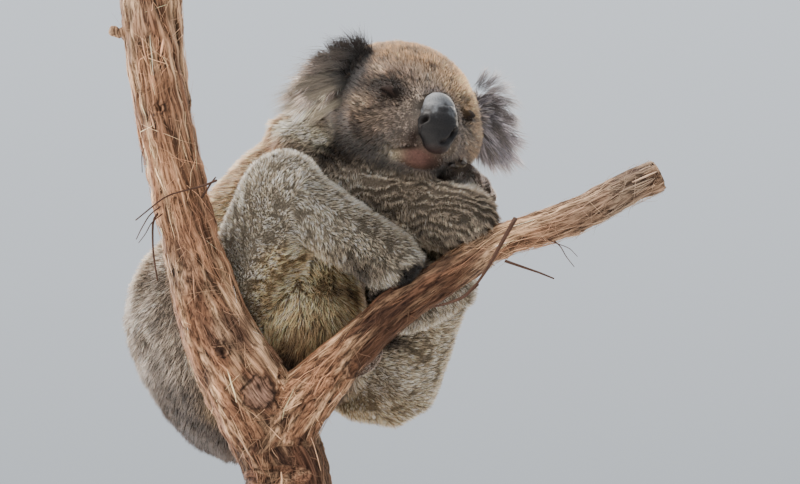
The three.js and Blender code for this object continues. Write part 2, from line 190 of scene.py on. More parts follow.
# ---- meshes
def mesh_piece(
    name: str, points: Array, faces: Array, material: Material,
    tints: Array | None = None, places: Array | None = None,
) -> Piece:
    """Makes a smooth-shaded object from arrays.

    Args:
        name: The piece's name.
        points: Its corners, one row each.
        faces: Rows of three or four corner numbers.
        material: Its finish.
        tints: A linear colour for each corner, kept as the attribute "tint".
        places: A UV place for each corner, kept as the map OFBake.

    Returns:
        The object, linked to the scene.
    """
    mesh = bpy.data.meshes.new(name)
    mesh.vertices.add(len(points))
    mesh.vertices.foreach_set("co", points.astype(np.float32).ravel())
    mesh.loops.add(faces.size)
    mesh.loops.foreach_set("vertex_index", faces.astype(np.int32).ravel())
    mesh.polygons.add(len(faces))
    starts = np.arange(0, faces.size, faces.shape[1], dtype=np.int32)
    mesh.polygons.foreach_set("loop_start", starts)
    mesh.update(calc_edges=True)
    mesh.shade_smooth()
    if tints is not None:
        layer = mesh.color_attributes.new("tint", "FLOAT_COLOR", "POINT")
        rgba = np.ones((len(points), 4), np.float32)
        rgba[:, :3] = np.clip(tints, 0, 1)
        layer.data.foreach_set("color", rgba.ravel())
    if places is not None:
        unwrap = mesh.uv_layers.new(name="OFBake")
        unwrap.data.foreach_set("uv", places[faces.ravel()].astype(np.float32).ravel())
    mesh.materials.append(material)
    piece = bpy.data.objects.new(name, mesh)
    bpy.context.scene.collection.objects.link(piece)
    return piece


def ride(slot: str, pieces: Iterable[Piece], *nodes: str) -> None:
    """Fixes pieces to the one body, in place of the nodes."""
    for piece in pieces:
        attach(piece, "root")
        if nodes:
            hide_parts(*nodes)
        faces = sum(len(polygon.vertices) - 2 for polygon in piece.data.polygons)
        log.info("%s: %d triangles", piece.name, faces)


def node_arrays(name: str, grow: float = 0.0) -> Solid:
    """Reads a solid of the frame with its shared corners merged.

    Args:
        name: The node.
        grow: How far its faces are moved out.

    Returns:
        Its points and triangles.
    """
    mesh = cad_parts[name].data
    mesh.calc_loop_triangles()
    points = np.array([vertex.co for vertex in mesh.vertices])
    triangles = np.array([triangle.vertices for triangle in mesh.loop_triangles])
    cells = (points * 1e5).round().astype(int)
    _, first, merged = np.unique(cells, axis=0, return_index=True, return_inverse=True)
    points, triangles = points[first], merged.ravel()[triangles]
    a, b, c = (points[triangles[:, i]] for i in range(3))
    normals = np.zeros_like(points)
    for i in range(3):
        np.add.at(normals, triangles[:, i], np.cross(b - a, c - a))
    return points + unit(normals) * grow, triangles


@dataclass
class Scatter:
    """Places spread over a surface, where what its corners hold can be read."""

    corners: Array
    loops: Array
    shares: Array

    def read(self, values: Array, by_loop: bool = False) -> Array:
        """Gives a value, or a row of them, at each place."""
        rows = values[self.loops if by_loop else self.corners]
        shares = self.shares if rows.ndim == 2 else self.shares[:, :, None]
        return (rows * shares).sum(axis=1)


class Surface:
    """A closed skin of quads, shaped as whole arrays."""

    def __init__(self, points: Array, quads: Array) -> None:
        """Keeps the points and works out who is next to whom."""
        self.points = points
        self.quads = quads
        following = np.roll(quads, -1, axis=1)
        self.near = np.concatenate([quads.ravel(), following.ravel()])
        self.far = np.concatenate([following.ravel(), quads.ravel()])
        self.valence = np.bincount(self.near, minlength=len(points))

    @classmethod
    def over(cls, parts: Iterable[Solid], voxel: float) -> "Surface":
        """Grows one skin over parts that overlap or touch.

        Args:
            parts: The closed meshes.
            voxel: The size of its faces.

        Returns:
            The skin.
        """
        points, triangles = joined(parts)
        mesh = bpy.data.meshes.new("rough")
        mesh.from_pydata(points.tolist(), [], triangles.tolist())
        rough = bpy.data.objects.new("rough", mesh)
        bpy.context.scene.collection.objects.link(rough)
        remesh = rough.modifiers.new("skin", "REMESH")
        remesh.mode = "VOXEL"
        remesh.voxel_size = voxel
        evaluated = rough.evaluated_get(bpy.context.evaluated_depsgraph_get())
        made = evaluated.to_mesh()
        skin_points = np.empty(3 * len(made.vertices))
        made.vertices.foreach_get("co", skin_points)
        loops = np.empty(len(made.loops), np.int32)
        made.loops.foreach_get("vertex_index", loops)
        evaluated.to_mesh_clear()
        bpy.data.objects.remove(rough)
        return cls(skin_points.reshape(-1, 3), loops.reshape(-1, 4).astype(np.int64))

    def around(self, values: Array) -> Array:
        """Gives the mean of each point's neighbours' values."""
        columns = values.reshape(len(values), -1).T
        sums = [np.bincount(self.near, column[self.far], len(values)) for column in columns]
        return (np.stack(sums, axis=1) / self.valence[:, None]).reshape(values.shape)

    def softened(self, values: Array, rounds: int) -> Array:
        """Gives the values spread to their neighbours a number of times."""
        for _ in range(rounds):
            values = (values + self.around(values)) / 2
        return values

    def relax(self, rounds: int) -> None:
        """Smooths the skin without shrinking it."""
        for step in (0.6, -0.62) * rounds:
            self.points = self.points + (self.around(self.points) - self.points) * step

    def normals(self) -> Array:
        """Gives each point's outward direction."""
        corners = self.points[self.quads]
        faces = np.cross(corners[:, 2] - corners[:, 0], corners[:, 3] - corners[:, 1])
        total = np.zeros_like(self.points)
        for i, axis in itertools.product(range(4), range(3)):
            total[:, axis] += np.bincount(self.quads[:, i], faces[:, axis], len(total))
        return unit(total)

    def raise_by(self, height: Array) -> None:
        """Raises each point along its normal by a height in mm."""
        self.points = self.points + self.normals() * height[:, None] * MM

    def piece(self, name: str, material: Material, tints: Array) -> Piece:
        """Makes the skin a piece."""
        return mesh_piece(name, self.points, self.quads, material, tints)

    def scatter(self, density: Array, rng: Chance) -> Scatter:
        """Spreads places over the skin.

        Args:
            density: Places per square metre at each corner.
            rng: The seeded source of chance.

        Returns:
            The places.
        """
        first = np.arange(len(self.quads)) * 4
        loops = np.concatenate([first[:, None] + halves for halves in ((0, 1, 2), (0, 2, 3))])
        corners = self.quads.ravel()[loops]
        a, b, c = (self.points[corners[:, i]] for i in range(3))
        area = norm(np.cross(b - a, c - a)) / 2
        ends = np.cumsum(area * density[corners].mean(axis=1))
        count = int(ends[-1])
        chosen = np.searchsorted(ends, (np.arange(count) + rng.random(count)) / count * ends[-1])
        chosen = np.minimum(chosen, len(corners) - 1)
        u, v = rng.random((2, count))
        folded = u + v > 1
        u, v = np.where(folded, 1 - u, u), np.where(folded, 1 - v, v)
        shares = np.stack([1 - u - v, u, v], axis=1)
        return Scatter(corners[chosen], loops[chosen], shares)


@dataclass
class Locks:
    """Closed three-sided hairs that taper along their paths to a tip."""

    paths: Array  # centres from the root to the tip: hair, step, xyz
    widths: Array  # at each ring between them: hair, ring
    across: Array  # the way in which a hair is wide
    tints: Array  # at each step: hair, step, rgb
    places: Array  # each root's place on the skin's unwrap
    pointed: bool = False  # whether the root is a point and not the first ring
    flatness: float = 0.55

    PATCH = 0.003

    def arrays(self) -> tuple[Array, Array, Array, Array]:
        """Gives points, triangles, tints and UV places of all the hairs together."""
        count, rings = self.widths.shape
        first = int(self.pointed)
        ways = unit(np.diff(self.paths, axis=1))[:, -rings:]
        wide = self.across[:, None, :]
        thick = unit(np.cross(ways, wide)) * self.flatness
        wide = unit(np.cross(thick, ways))
        angles = np.radians([90, 210, 330])[:, None]
        spread = wide[:, :, None] * np.cos(angles) + thick[:, :, None] * np.sin(angles)
        centres = self.paths[:, first : first + rings, None]
        ring_points = centres + spread * (self.widths / 2)[:, :, None, None]
        middle = ring_points.reshape(count, rings * 3, 3)
        points = np.concatenate([self.paths[:, :first], middle, self.paths[:, -1:]], axis=1)
        step = np.concatenate([np.arange(first), np.repeat(np.arange(rings), 3) + first, [rings + first]])
        side = np.concatenate([np.zeros(first), np.tile((0.0, -1.0, 1.0), rings), [0.0]])
        spots = np.stack([side * 0.4, step / step[-1] - 0.5], axis=1) * self.PATCH
        places = self.places[:, None, :] + spots
        triangles = [] if self.pointed else [(0, 2, 1)]
        tip = first + 3 * rings
        for ring, i in itertools.product(range(rings), range(3)):
            a, b = first + 3 * ring + i, first + 3 * ring + (i + 1) % 3
            if self.pointed and ring == 0:
                triangles.append((0, b, a))
            if ring < rings - 1:
                triangles += [(a, b, b + 3), (a, b + 3, a + 3)]
            else:
                triangles.append((a, b, tip))
        faces = np.array(triangles)[None] + (np.arange(count) * (tip + 1))[:, None, None]
        tints = self.tints[:, step].reshape(-1, 3)
        return points.reshape(-1, 3), faces.reshape(-1, 3), tints, places.reshape(-1, 2)


class Cut(Enum):
    """How finely a hair is bent: the shares of its length where its path has a point."""

    STRAIGHT = (0.0, 1.0)
    BENT = (0.0, 0.42, 1.0)
    LONG = (0.0, 0.3, 0.66, 1.0)

    @property
    def triangles(self) -> int:
        """Gives how many triangles one such hair has."""
        return 4 if self is Cut.STRAIGHT else 6 * (len(self.value) - 2)


@dataclass
class Hairs:
    """Hairs as smooth bends, before they are cut into meshes."""

    roots: Array
    bends: Array  # what each hair bends towards on its way
    tips: Array
    widths: Array
    across: Array
    tints: Array  # at the root, the middle and the tip: hair, step, rgb
    places: Array
    cuts: Array  # the number of each hair's Cut

    def some(self, chosen: Array) -> "Hairs":
        """Gives the chosen hairs."""
        return Hairs(*(getattr(self, name)[chosen] for name in self.__dataclass_fields__))

    @classmethod
    def together(cls, groups: list["Hairs"]) -> "Hairs":
        """Joins groups of hairs."""
        names = cls.__dataclass_fields__
        return cls(*(np.concatenate([getattr(group, name) for group in groups]) for name in names))

    def locks(self, cut: Cut) -> Locks:
        """Samples the hairs' bends as finely as a cut says.

        Args:
            cut: How finely the hairs are bent.

        Returns:
            The hairs as tapering locks.
        """
        shares = np.array(cut.value)
        pointed = len(shares) > 2
        rings = shares[1:-1] if pointed else shares[:1]
        s = shares[None, :, None]
        roots, bends, tips = (some[:, None] for some in (self.roots, self.bends, self.tips))
        root, middle, tip = (self.tints[:, [i]] for i in range(3))
        widths = self.widths[:, None] * (1.08 - 0.4 * rings)
        tints = root + (middle - root) * np.clip(2 * s, 0, 1) + (tip - middle) * np.clip(2 * s - 1, 0, 1)
        return Locks(bent(roots, bends, tips, s), widths, self.across, tints, self.places, pointed)


# ---- finishes
def add_node(tree: bpy.types.NodeTree, kind: str, **sockets: object) -> bpy.types.Node:
    """Adds a node to a tree and sets its sockets or links them.

    Args:
        tree: The tree.
        kind: The node's type without its prefix.
        sockets: Values, or output sockets to link; "_" stands for a space.

    Returns:
        The node.
    """
    node = tree.nodes.new("ShaderNode" + kind)
    for key, value in sockets.items():
        socket = node.inputs[key.replace("_", " ")]
        if isinstance(value, Socket):
            tree.links.new(value, socket)
        else:
            socket.default_value = value
    return node


class Nodes:
    """A material's nodes, each added with one short call."""

    def __init__(self, name: str, roughness: float, specular: float) -> None:
        """Starts a material with its one shader."""
        self.material = bpy.data.materials.new(name)
        self.material.use_nodes = True
        self.tree = self.material.node_tree
        self.shader = self.tree.nodes["Principled BSDF"]
        self.set("Roughness", roughness)
        self.set("Specular IOR Level", specular)

    def set(self, socket: str, value: float | tuple[float, ...]) -> None:
        """Sets one of the shader's sockets."""
        self.shader.inputs[socket].default_value = value

    def link(self, output: Socket, socket: str) -> None:
        """Links an output to one of the shader's sockets."""
        self.tree.links.new(output, self.shader.inputs[socket])

    def add(self, kind: str, **sockets: object) -> bpy.types.Node:
        """Adds a node and sets its sockets or links them."""
        return add_node(self.tree, kind, **sockets)

    def own_colour(self) -> Socket:
        """Gives the colour that the corners hold."""
        node = self.add("VertexColor")
        node.layer_name = "tint"
        return node.outputs["Color"]

    def stretched(self, *scale: float) -> Socket:
        """Gives the object's own coordinates, scaled along each axis."""
        place = self.add("TexCoord").outputs["Object"]
        return self.add("Mapping", Vector=place, Scale=scale).outputs["Vector"]

    def noise(self, place: Socket, scale: float, detail: float, roughness: float = 0.5) -> Socket:
        """Gives cloudy noise between 0 and 1."""
        node = self.add("TexNoise", Vector=place, Scale=scale, Detail=detail, Roughness=roughness)
        return node.outputs["Fac"]

    def ramp(self, share: Socket, *stops: tuple[float, object]) -> Socket:
        """Colours a share by two stops, each of them a place with a grey or a colour."""
        node = self.add("ValToRGB", Fac=share)
        for element, (place, colour) in zip(node.color_ramp.elements, stops):
            element.position = place
            element.color = (*np.broadcast_to(colour, 3), 1)
        return node.outputs["Color"]

    def paint(self, colour: Socket, *shades: Socket) -> None:
        """Gives the shader a colour, multiplied by its shades."""
        for shade in shades:
            node = self.add("Mix", Factor=1.0)
            node.data_type = "RGBA"
            node.blend_type = "MULTIPLY"
            self.tree.links.new(colour, node.inputs[6])
            self.tree.links.new(shade, node.inputs[7])
            colour = node.outputs[2]
        self.link(colour, "Base Color")

    def bump(self, height: Socket, strength: float, depth: float) -> None:
        """Roughens the surface by a height, as deep as so many mm."""
        node = self.add("Bump", Height=height, Strength=strength, Distance=depth * MM)
        self.link(node.outputs["Normal"], "Normal")


@dataclass(frozen=True)
class TintedFinish:
    """A surface whose colour comes from its corners, with fine grain over it."""

    name: str
    roughness: float
    specular: float
    grain: float  # how many grains to the metre
    dark: float  # the grain's darkest share of the colour
    bump: float
    sheen: float = 0.0

    def material(self) -> Material:
        """Builds the material."""
        nodes = Nodes(self.name, self.roughness, self.specular)
        grain = nodes.noise(nodes.stretched(1, 1, 1), self.grain, 4)
        nodes.paint(nodes.own_colour(), nodes.ramp(grain, (0.25, self.dark), (0.75, 2 - self.dark)))
        nodes.bump(grain, self.bump, 0.4)
        nodes.set("Sheen Weight", self.sheen)
        return nodes.material


@dataclass(frozen=True)
class LeatherFinish:
    """Bare pebbled skin."""

    name: str
    roughness: float
    cells: float  # how many pebbles to the metre

    def material(self) -> Material:
        """Builds the material."""
        nodes = Nodes(self.name, self.roughness, 0.3)
        place = nodes.stretched(1, 1, 1)
        pebbles = nodes.add("TexVoronoi", Vector=place, Scale=self.cells).outputs["Distance"]
        shade = nodes.ramp(pebbles, (0.0, 1.1), (0.9, (0.62, 0.6, 0.6)))
        cloud = nodes.ramp(nodes.noise(place, self.cells / 9, 5), (0.3, 0.8), (0.7, 1.15))
        nodes.paint(nodes.own_colour(), shade, cloud)
        nodes.link(nodes.ramp(pebbles, (0.0, self.roughness), (1.0, 0.75)), "Roughness")
        nodes.bump(pebbles, -0.5, 0.5)
        return nodes.material


@dataclass(frozen=True)
class BarkFinish:
    """Bark whose fibres follow the corners' own grain coordinates."""

    name: str
    fibres: float = 560.0  # fibres to the metre, across the grain

    def material(self) -> Material:
        """Builds the material."""
        nodes = Nodes(self.name, 0.85, 0.2)
        grain = nodes.add("Attribute")
        grain.attribute_name = "grain"
        place = grain.outputs["Vector"]
        fine = nodes.noise(place, self.fibres, 6, 0.68)
        threads = nodes.ramp(fine, (0.41, (0.3, 0.26, 0.24)), (0.58, (1.45, 1.45, 1.42)))
        bands = nodes.ramp(nodes.noise(place, self.fibres / 5, 3), (0.35, (0.62, 0.58, 0.56)), (0.62, 1.15))
        nodes.paint(nodes.own_colour(), threads, bands)
        nodes.bump(fine, 0.9, 1.4)
        return nodes.material


@dataclass(frozen=True)
class HornFinish:
    """Dark horn, streaked along a claw."""

    name: str
    dark: str
    light: str

    def material(self) -> Material:
        """Builds the material."""
        nodes = Nodes(self.name, 0.32, 0.5)
        streaks = nodes.noise(nodes.stretched(1, 1, 1), 420, 3)
        nodes.paint(nodes.ramp(streaks, (0.3, tint(self.dark)), (0.8, tint(self.light))))
        nodes.bump(streaks, 0.25, 0.2)
        return nodes.material


@dataclass(frozen=True)
class OakFinish:
    """Waxed oak with its grain along the base."""

    name: str
    dark: str
    light: str

    def material(self) -> Material:
        """Builds the material."""
        nodes = Nodes(self.name, 0.42, 0.4)
        grain = nodes.noise(nodes.stretched(1.6, 22, 22), 5, 8, 0.65)
        pores = nodes.noise(nodes.stretched(12, 420, 420), 1, 2)
        colour = nodes.ramp(grain, (0.3, tint(self.dark)), (0.7, tint(self.light)))
        nodes.paint(colour, nodes.ramp(pores, (0.35, (0.6, 0.55, 0.5)), (0.5, 1.0)))
        nodes.bump(pores, 0.3, 0.3)
        return nodes.material


@dataclass(frozen=True)
class SteelFinish:
    """Steel, brushed round the rod."""

    name: str
    dark: str
    light: str

    def material(self) -> Material:
        """Builds the material."""
        nodes = Nodes(self.name, 0.34, 0.5)
        nodes.set("Metallic", 1.0)
        lines = nodes.noise(nodes.stretched(30, 30, 2600), 1, 3)
        nodes.paint(nodes.ramp(lines, (0.3, tint(self.dark)), (0.7, tint(self.light))))
        nodes.link(nodes.ramp(lines, (0.3, 0.28), (0.7, 0.46)), "Roughness")
        nodes.bump(lines, 0.12, 0.1)
        return nodes.material


@dataclass(frozen=True)
class FloorFinish:
    """A plain pale matt floor."""

    name: str
    colour: str

    def material(self) -> Material:
        """Builds the material."""
        nodes = Nodes(self.name, 0.85, 0.2)
        nodes.set("Base Color", (*tint(self.colour), 1))
        return nodes.material


# ---- the head's own frame
@dataclass(frozen=True)
class HeadFrame:
    """The head's axes: x to the animal's left, -y along the muzzle, z to the crown."""

    centre: Array
    axes: Array  # a row for each axis

    LID = np.array([38.0, -55.0, 8.0]) * MM
    NOSE = np.array([0.66, -76.96, -13.44]) * MM

    @classmethod
    def found(cls) -> "HeadFrame":
        """Finds the axes from where the lids and the nose stand in the frame."""
        nodes = ("right_eyelids", "left_eyelids", "nose")
        right, left, nose = (node_arrays(name)[0].mean(axis=0) for name in nodes)
        middle = (right + left) / 2
        x = unit(left - right)
        along = unit((nose - middle) - x * ((nose - middle) @ x))
        beside = np.cross(x, along)
        known = cls.NOSE - cls.LID * np.array([0, 1, 1])
        known = known[1:] / np.linalg.norm(known[1:])
        y = known[0] * along - known[1] * beside
        z = known[1] * along + known[0] * beside
        axes = np.stack([x, y, z])
        return cls(middle - np.array([0, cls.LID[1], cls.LID[2]]) @ axes, axes)

    def local(self, points: Array) -> Array:
        """Gives points in the head's own axes."""
        return (points - self.centre) @ self.axes.T

    def own(self, points: Array) -> Array:
        """Gives points in the head's own axes, in mm."""
        return self.local(points) / MM

    def world(self, points: Array) -> Array:
        """Gives points of the head in the shared frame."""
        return points @ self.axes + self.centre


@dataclass(frozen=True)
class Joints:
    """Where the limbs bend, the same places as the solids are built on, in mm."""

    right_shoulder: Triple = (36, -34, 538)
    right_elbow: Triple = (149, -86, 497)
    right_wrist: Triple = (143, -20, 541)
    right_hip: Triple = (-60, -10, 416)
    right_knee: Triple = (-16, -98, 518)
    right_ankle: Triple = (85, -93, 455)
    left_shoulder: Triple = (72, 62, 548)
    left_elbow: Triple = (139, 42, 520)
    left_wrist: Triple = (164, -34, 481)
    left_hip: Triple = (40, 92, 412)
    left_knee: Triple = (134, 46, 466)
    left_ankle: Triple = (92, -34, 424)
    rump_end: Triple = (-90, 50, 250)

    def place(self, joint: str) -> Array:
        """Gives a joint's place in the shared frame."""
        return np.array(getattr(self, joint)) / 1000

    def way(self, start: str, end: str, droop: float = 0.0) -> Array:
        """Gives the way from one joint to another, pulled down by a share."""
        line = unit(self.place(end) - self.place(start))
        return unit(line + (0, 0, -droop))


# ---- the coat's regions
class Region(Enum):
    """The parts of the body whose coats differ."""

    HEAD = "head"
    EAR = "ear"
    NECK = "neck"
    TRUNK = "trunk"
    ARM = "arm"
    LEG = "leg"
    PAW = "paw"

    @property
    def column(self) -> int:
        """Gives the number of its column among the shares."""
        return list(Region).index(self)

    @classmethod
    def of(cls, node: str) -> "Region":
        """Gives a node's region."""
        ends = {"head": cls.HEAD, "neck": cls.NECK, "trunk": cls.TRUNK, "ear": cls.EAR}
        ends |= {"thigh": cls.LEG, "shin": cls.LEG, "hand": cls.PAW, "foot": cls.PAW}
        return ends.get(node.rsplit("_", 1)[-1], cls.ARM)


@dataclass(frozen=True)
class Pelt:
    """How the coat grows in one region."""

    inset: float  # how far the skin lies inside the tips, in mm
    length: float  # in mm
    width: float  # in mm
    lift: float  # degrees off the skin at the root
    density: float  # hairs to the square metre
    clump: float  # how many mm lie between the clumps in which the tips gather
    bent: float  # the share of the hairs that are bent
    fleck: float  # how much one clump's tone differs from the next
    grizzle: float  # how much one hair's tone differs from the next
    gather: float  # how far a tip leans to its clump

    def row(self) -> list[float]:
        """Gives the sizes of the hairs in a fixed order, with lengths in metres."""
        shape = [self.length * MM, self.width * MM, self.lift, self.density, self.clump * MM]
        return [*shape, self.bent, self.fleck, self.grizzle, self.gather]


PELTS = {
    Region.HEAD: Pelt(4.0, 6.8, 0.6, 48, 1.42e6, 2.1, 0.0, 1.5, 0.42, 0.32),
    Region.EAR: Pelt(2.5, 10, 0.76, 24, 0.92e6, 6, 0.4, 0.8, 0.45, 0.5),
    Region.NECK: Pelt(6, 11, 0.92, 50, 0.68e6, 3.4, 0.1, 0.8, 0.35, 0.4),
    Region.TRUNK: Pelt(5.5, 10, 0.88, 60, 0.57e6, 2.5, 0.05, 1.2, 0.35, 0.38),
    Region.ARM: Pelt(5, 7.6, 0.76, 56, 0.95e6, 2.4, 0.0, 1.0, 0.4, 0.4),
    Region.LEG: Pelt(4.5, 7.0, 0.72, 66, 0.93e6, 2.0, 0.0, 2.0, 0.42, 0.45),
    Region.PAW: Pelt(1.5, 4.2, 0.72, 30, 1.0e6, 2.4, 0.0, 0.8, 0.6, 0.3),
}


@dataclass
class Growth:
    """What the coat needs to know at a set of places."""

    points: Array
    normals: Array
    shares: Array  # each region's share, a column for each Region
    flow: Array  # the way the coat lies
    sizes: Array  # the columns of Pelt.row
    tints: Array
    places: Array  # on the skin's unwrap

    def share(self, region: Region) -> Array:
        """Gives each place's share of a region."""
        return self.shares[:, region.column]


# ---- markings
# The line of the lips on the right, in the head's mm.
LIP_LINE = ((2, -82, -40), (-6, -77, -38), (-12, -73, -37), (-24, -62, -40), (-30, -56, -42), (-37, -47, -44))
# The slit between an eye's lids, outwards from the head's middle and up, in mm.
EYE_SLIT = ((57, 13.5), (53, 11.0), (46, 7.2), (38, 3.6), (31, 2.2))


@dataclass(frozen=True)
class Palette:
    """The koala's colours."""

    back: str = "caa885"
    nape: str = "b58a62"
    crown: str = "735737"
    gold: str = "bc9669"
    face: str = "635143"
    face_pale: str = "877664"
    face_dark: str = "3a2f27"
    muzzle: str = "8f857e"
    nose_edge: str = "8e8882"
    mouth_shade: str = "382c27"
    # Dark lid brown, also laid as painted shade in the lines of the eyes and lips.
    lid: str = "281d16"
    throat: str = "fff3d6"
    lip: str = "7e5d55"
    lip_edge: str = "a89a83"
    ear: str = "dec7bc"
    ear_dark: str = "231e1d"
    ear_pale: str = "bbae9f"
    far_ear: str = "9d979f"
    leg: str = "dfcfb7"
    shin_shade: str = "7c6f5f"
    knee: str = "e3d5bf"
    arm: str = "a19280"
    # Painted light and highlight on the arms.
    arm_pale: str = "f0dcc5"
    belly: str = "ffdaa8"
    belly_low: str = "836546"
    # Near black for painted shadow: in the crotch, under the right shin and under the branch.
    crotch: str = "222024"
    rump: str = "a99989"
    rump_low: str = "4e443d"
    haunch: str = "ddc39d"
    paw: str = "b49e90"
    paw_dark: str = "171210"


class Paint:
    """Colours at a set of places, laid one over another."""

    def __init__(self, owner: object, first: str, points: Array) -> None:
        """Starts with one of the owner's colours at every point."""
        self.owner = owner
        self.tints = np.tile(tint(getattr(owner, first)), (len(points), 1))

    def lay(self, name: str, share: Array, light: float = 1.0) -> "Paint":
        """Lays a colour of the owner, lit by a factor, over the others by each point's share."""
        self.tints = mixed(self.tints, tint(getattr(self.owner, name)) * light, share)
        return self

    def vary(self, light: Array) -> "Paint":
        """Makes each point lighter or darker by its own factor."""
        self.tints = self.tints * light[:, None]
        return self


@dataclass(frozen=True)
class Mark:
    """A soft patch on the head, in the head's mm."""

    colour: str
    place: Triple
    size: Triple
    strength: float
    paired: bool = False

    def lay(self, face: Paint, own: Array) -> None:
        """Lays the patch on the right or on both sides, over places in the head's mm."""
        for side in (-1, 1) if self.paired else (1,):
            place = np.array(self.place) * (side, 1, 1)
            face.lay(self.colour, dome(own, place, self.size) * self.strength)


FACE_MARKS = (
    Mark("nose_edge", (-19, -72, -4), (3, 10, 10), 0.6),
    Mark("mouth_shade", (44, -42, -42), (20, 24, 12), 1.2, True),
    # Dark brown round the shut eyes: partly the lids' own colour, partly painted shade under the brows.
    Mark("lid", (41, -56, 15), (17, 14, 8.5), 1.9, True),
    Mark("lid", (53, -50, 12), (9, 10, 5.5), 1.5, True),
    Mark("lid", (25, -62, 7), (8, 10, 9), 0.8, True),
    Mark("face_pale", (46, -46, -14), (15, 16, 9), 0.5, True),
    Mark("face_dark", (-62, -34, 10), (13, 14, 14), 1.0),
    Mark("ear_dark", (-58, -24, 50), (11, 14, 13), 1.6),
    Mark("ear_dark", (-65, -31, 27), (11, 12, 15), 1.6),
    Mark("ear_dark", (-72, -28, 12), (9, 10, 9), 1.2),
    Mark("gold", (42, -44, 30), (20, 26, 26), 0.9),
    Mark("gold", (60, -34, -4), (14, 22, 26), 0.5),
    Mark("gold", (18, -56, 34), (18, 20, 16), 0.5),
    Mark("mouth_shade", (-8, -62, 34), (18, 20, 12), 0.4),
    Mark("throat", (86, 4, -34), (20, 22, 14), 1.0, True),
    Mark("lip", (-8, -68, -47), (17, 14, 8), 1.7),
    Mark("lip_edge", (-31, -54, -48), (10, 16, 8), 1.6),
    Mark("mouth_shade", (8, -74, -52), (9, 14, 9), 0.8),
    Mark("mouth_shade", (-18, -76, -31), (5, 12, 8), 1.2),
    Mark("mouth_shade", (-48, -40, -47), (13, 16, 10), 1.4),
)


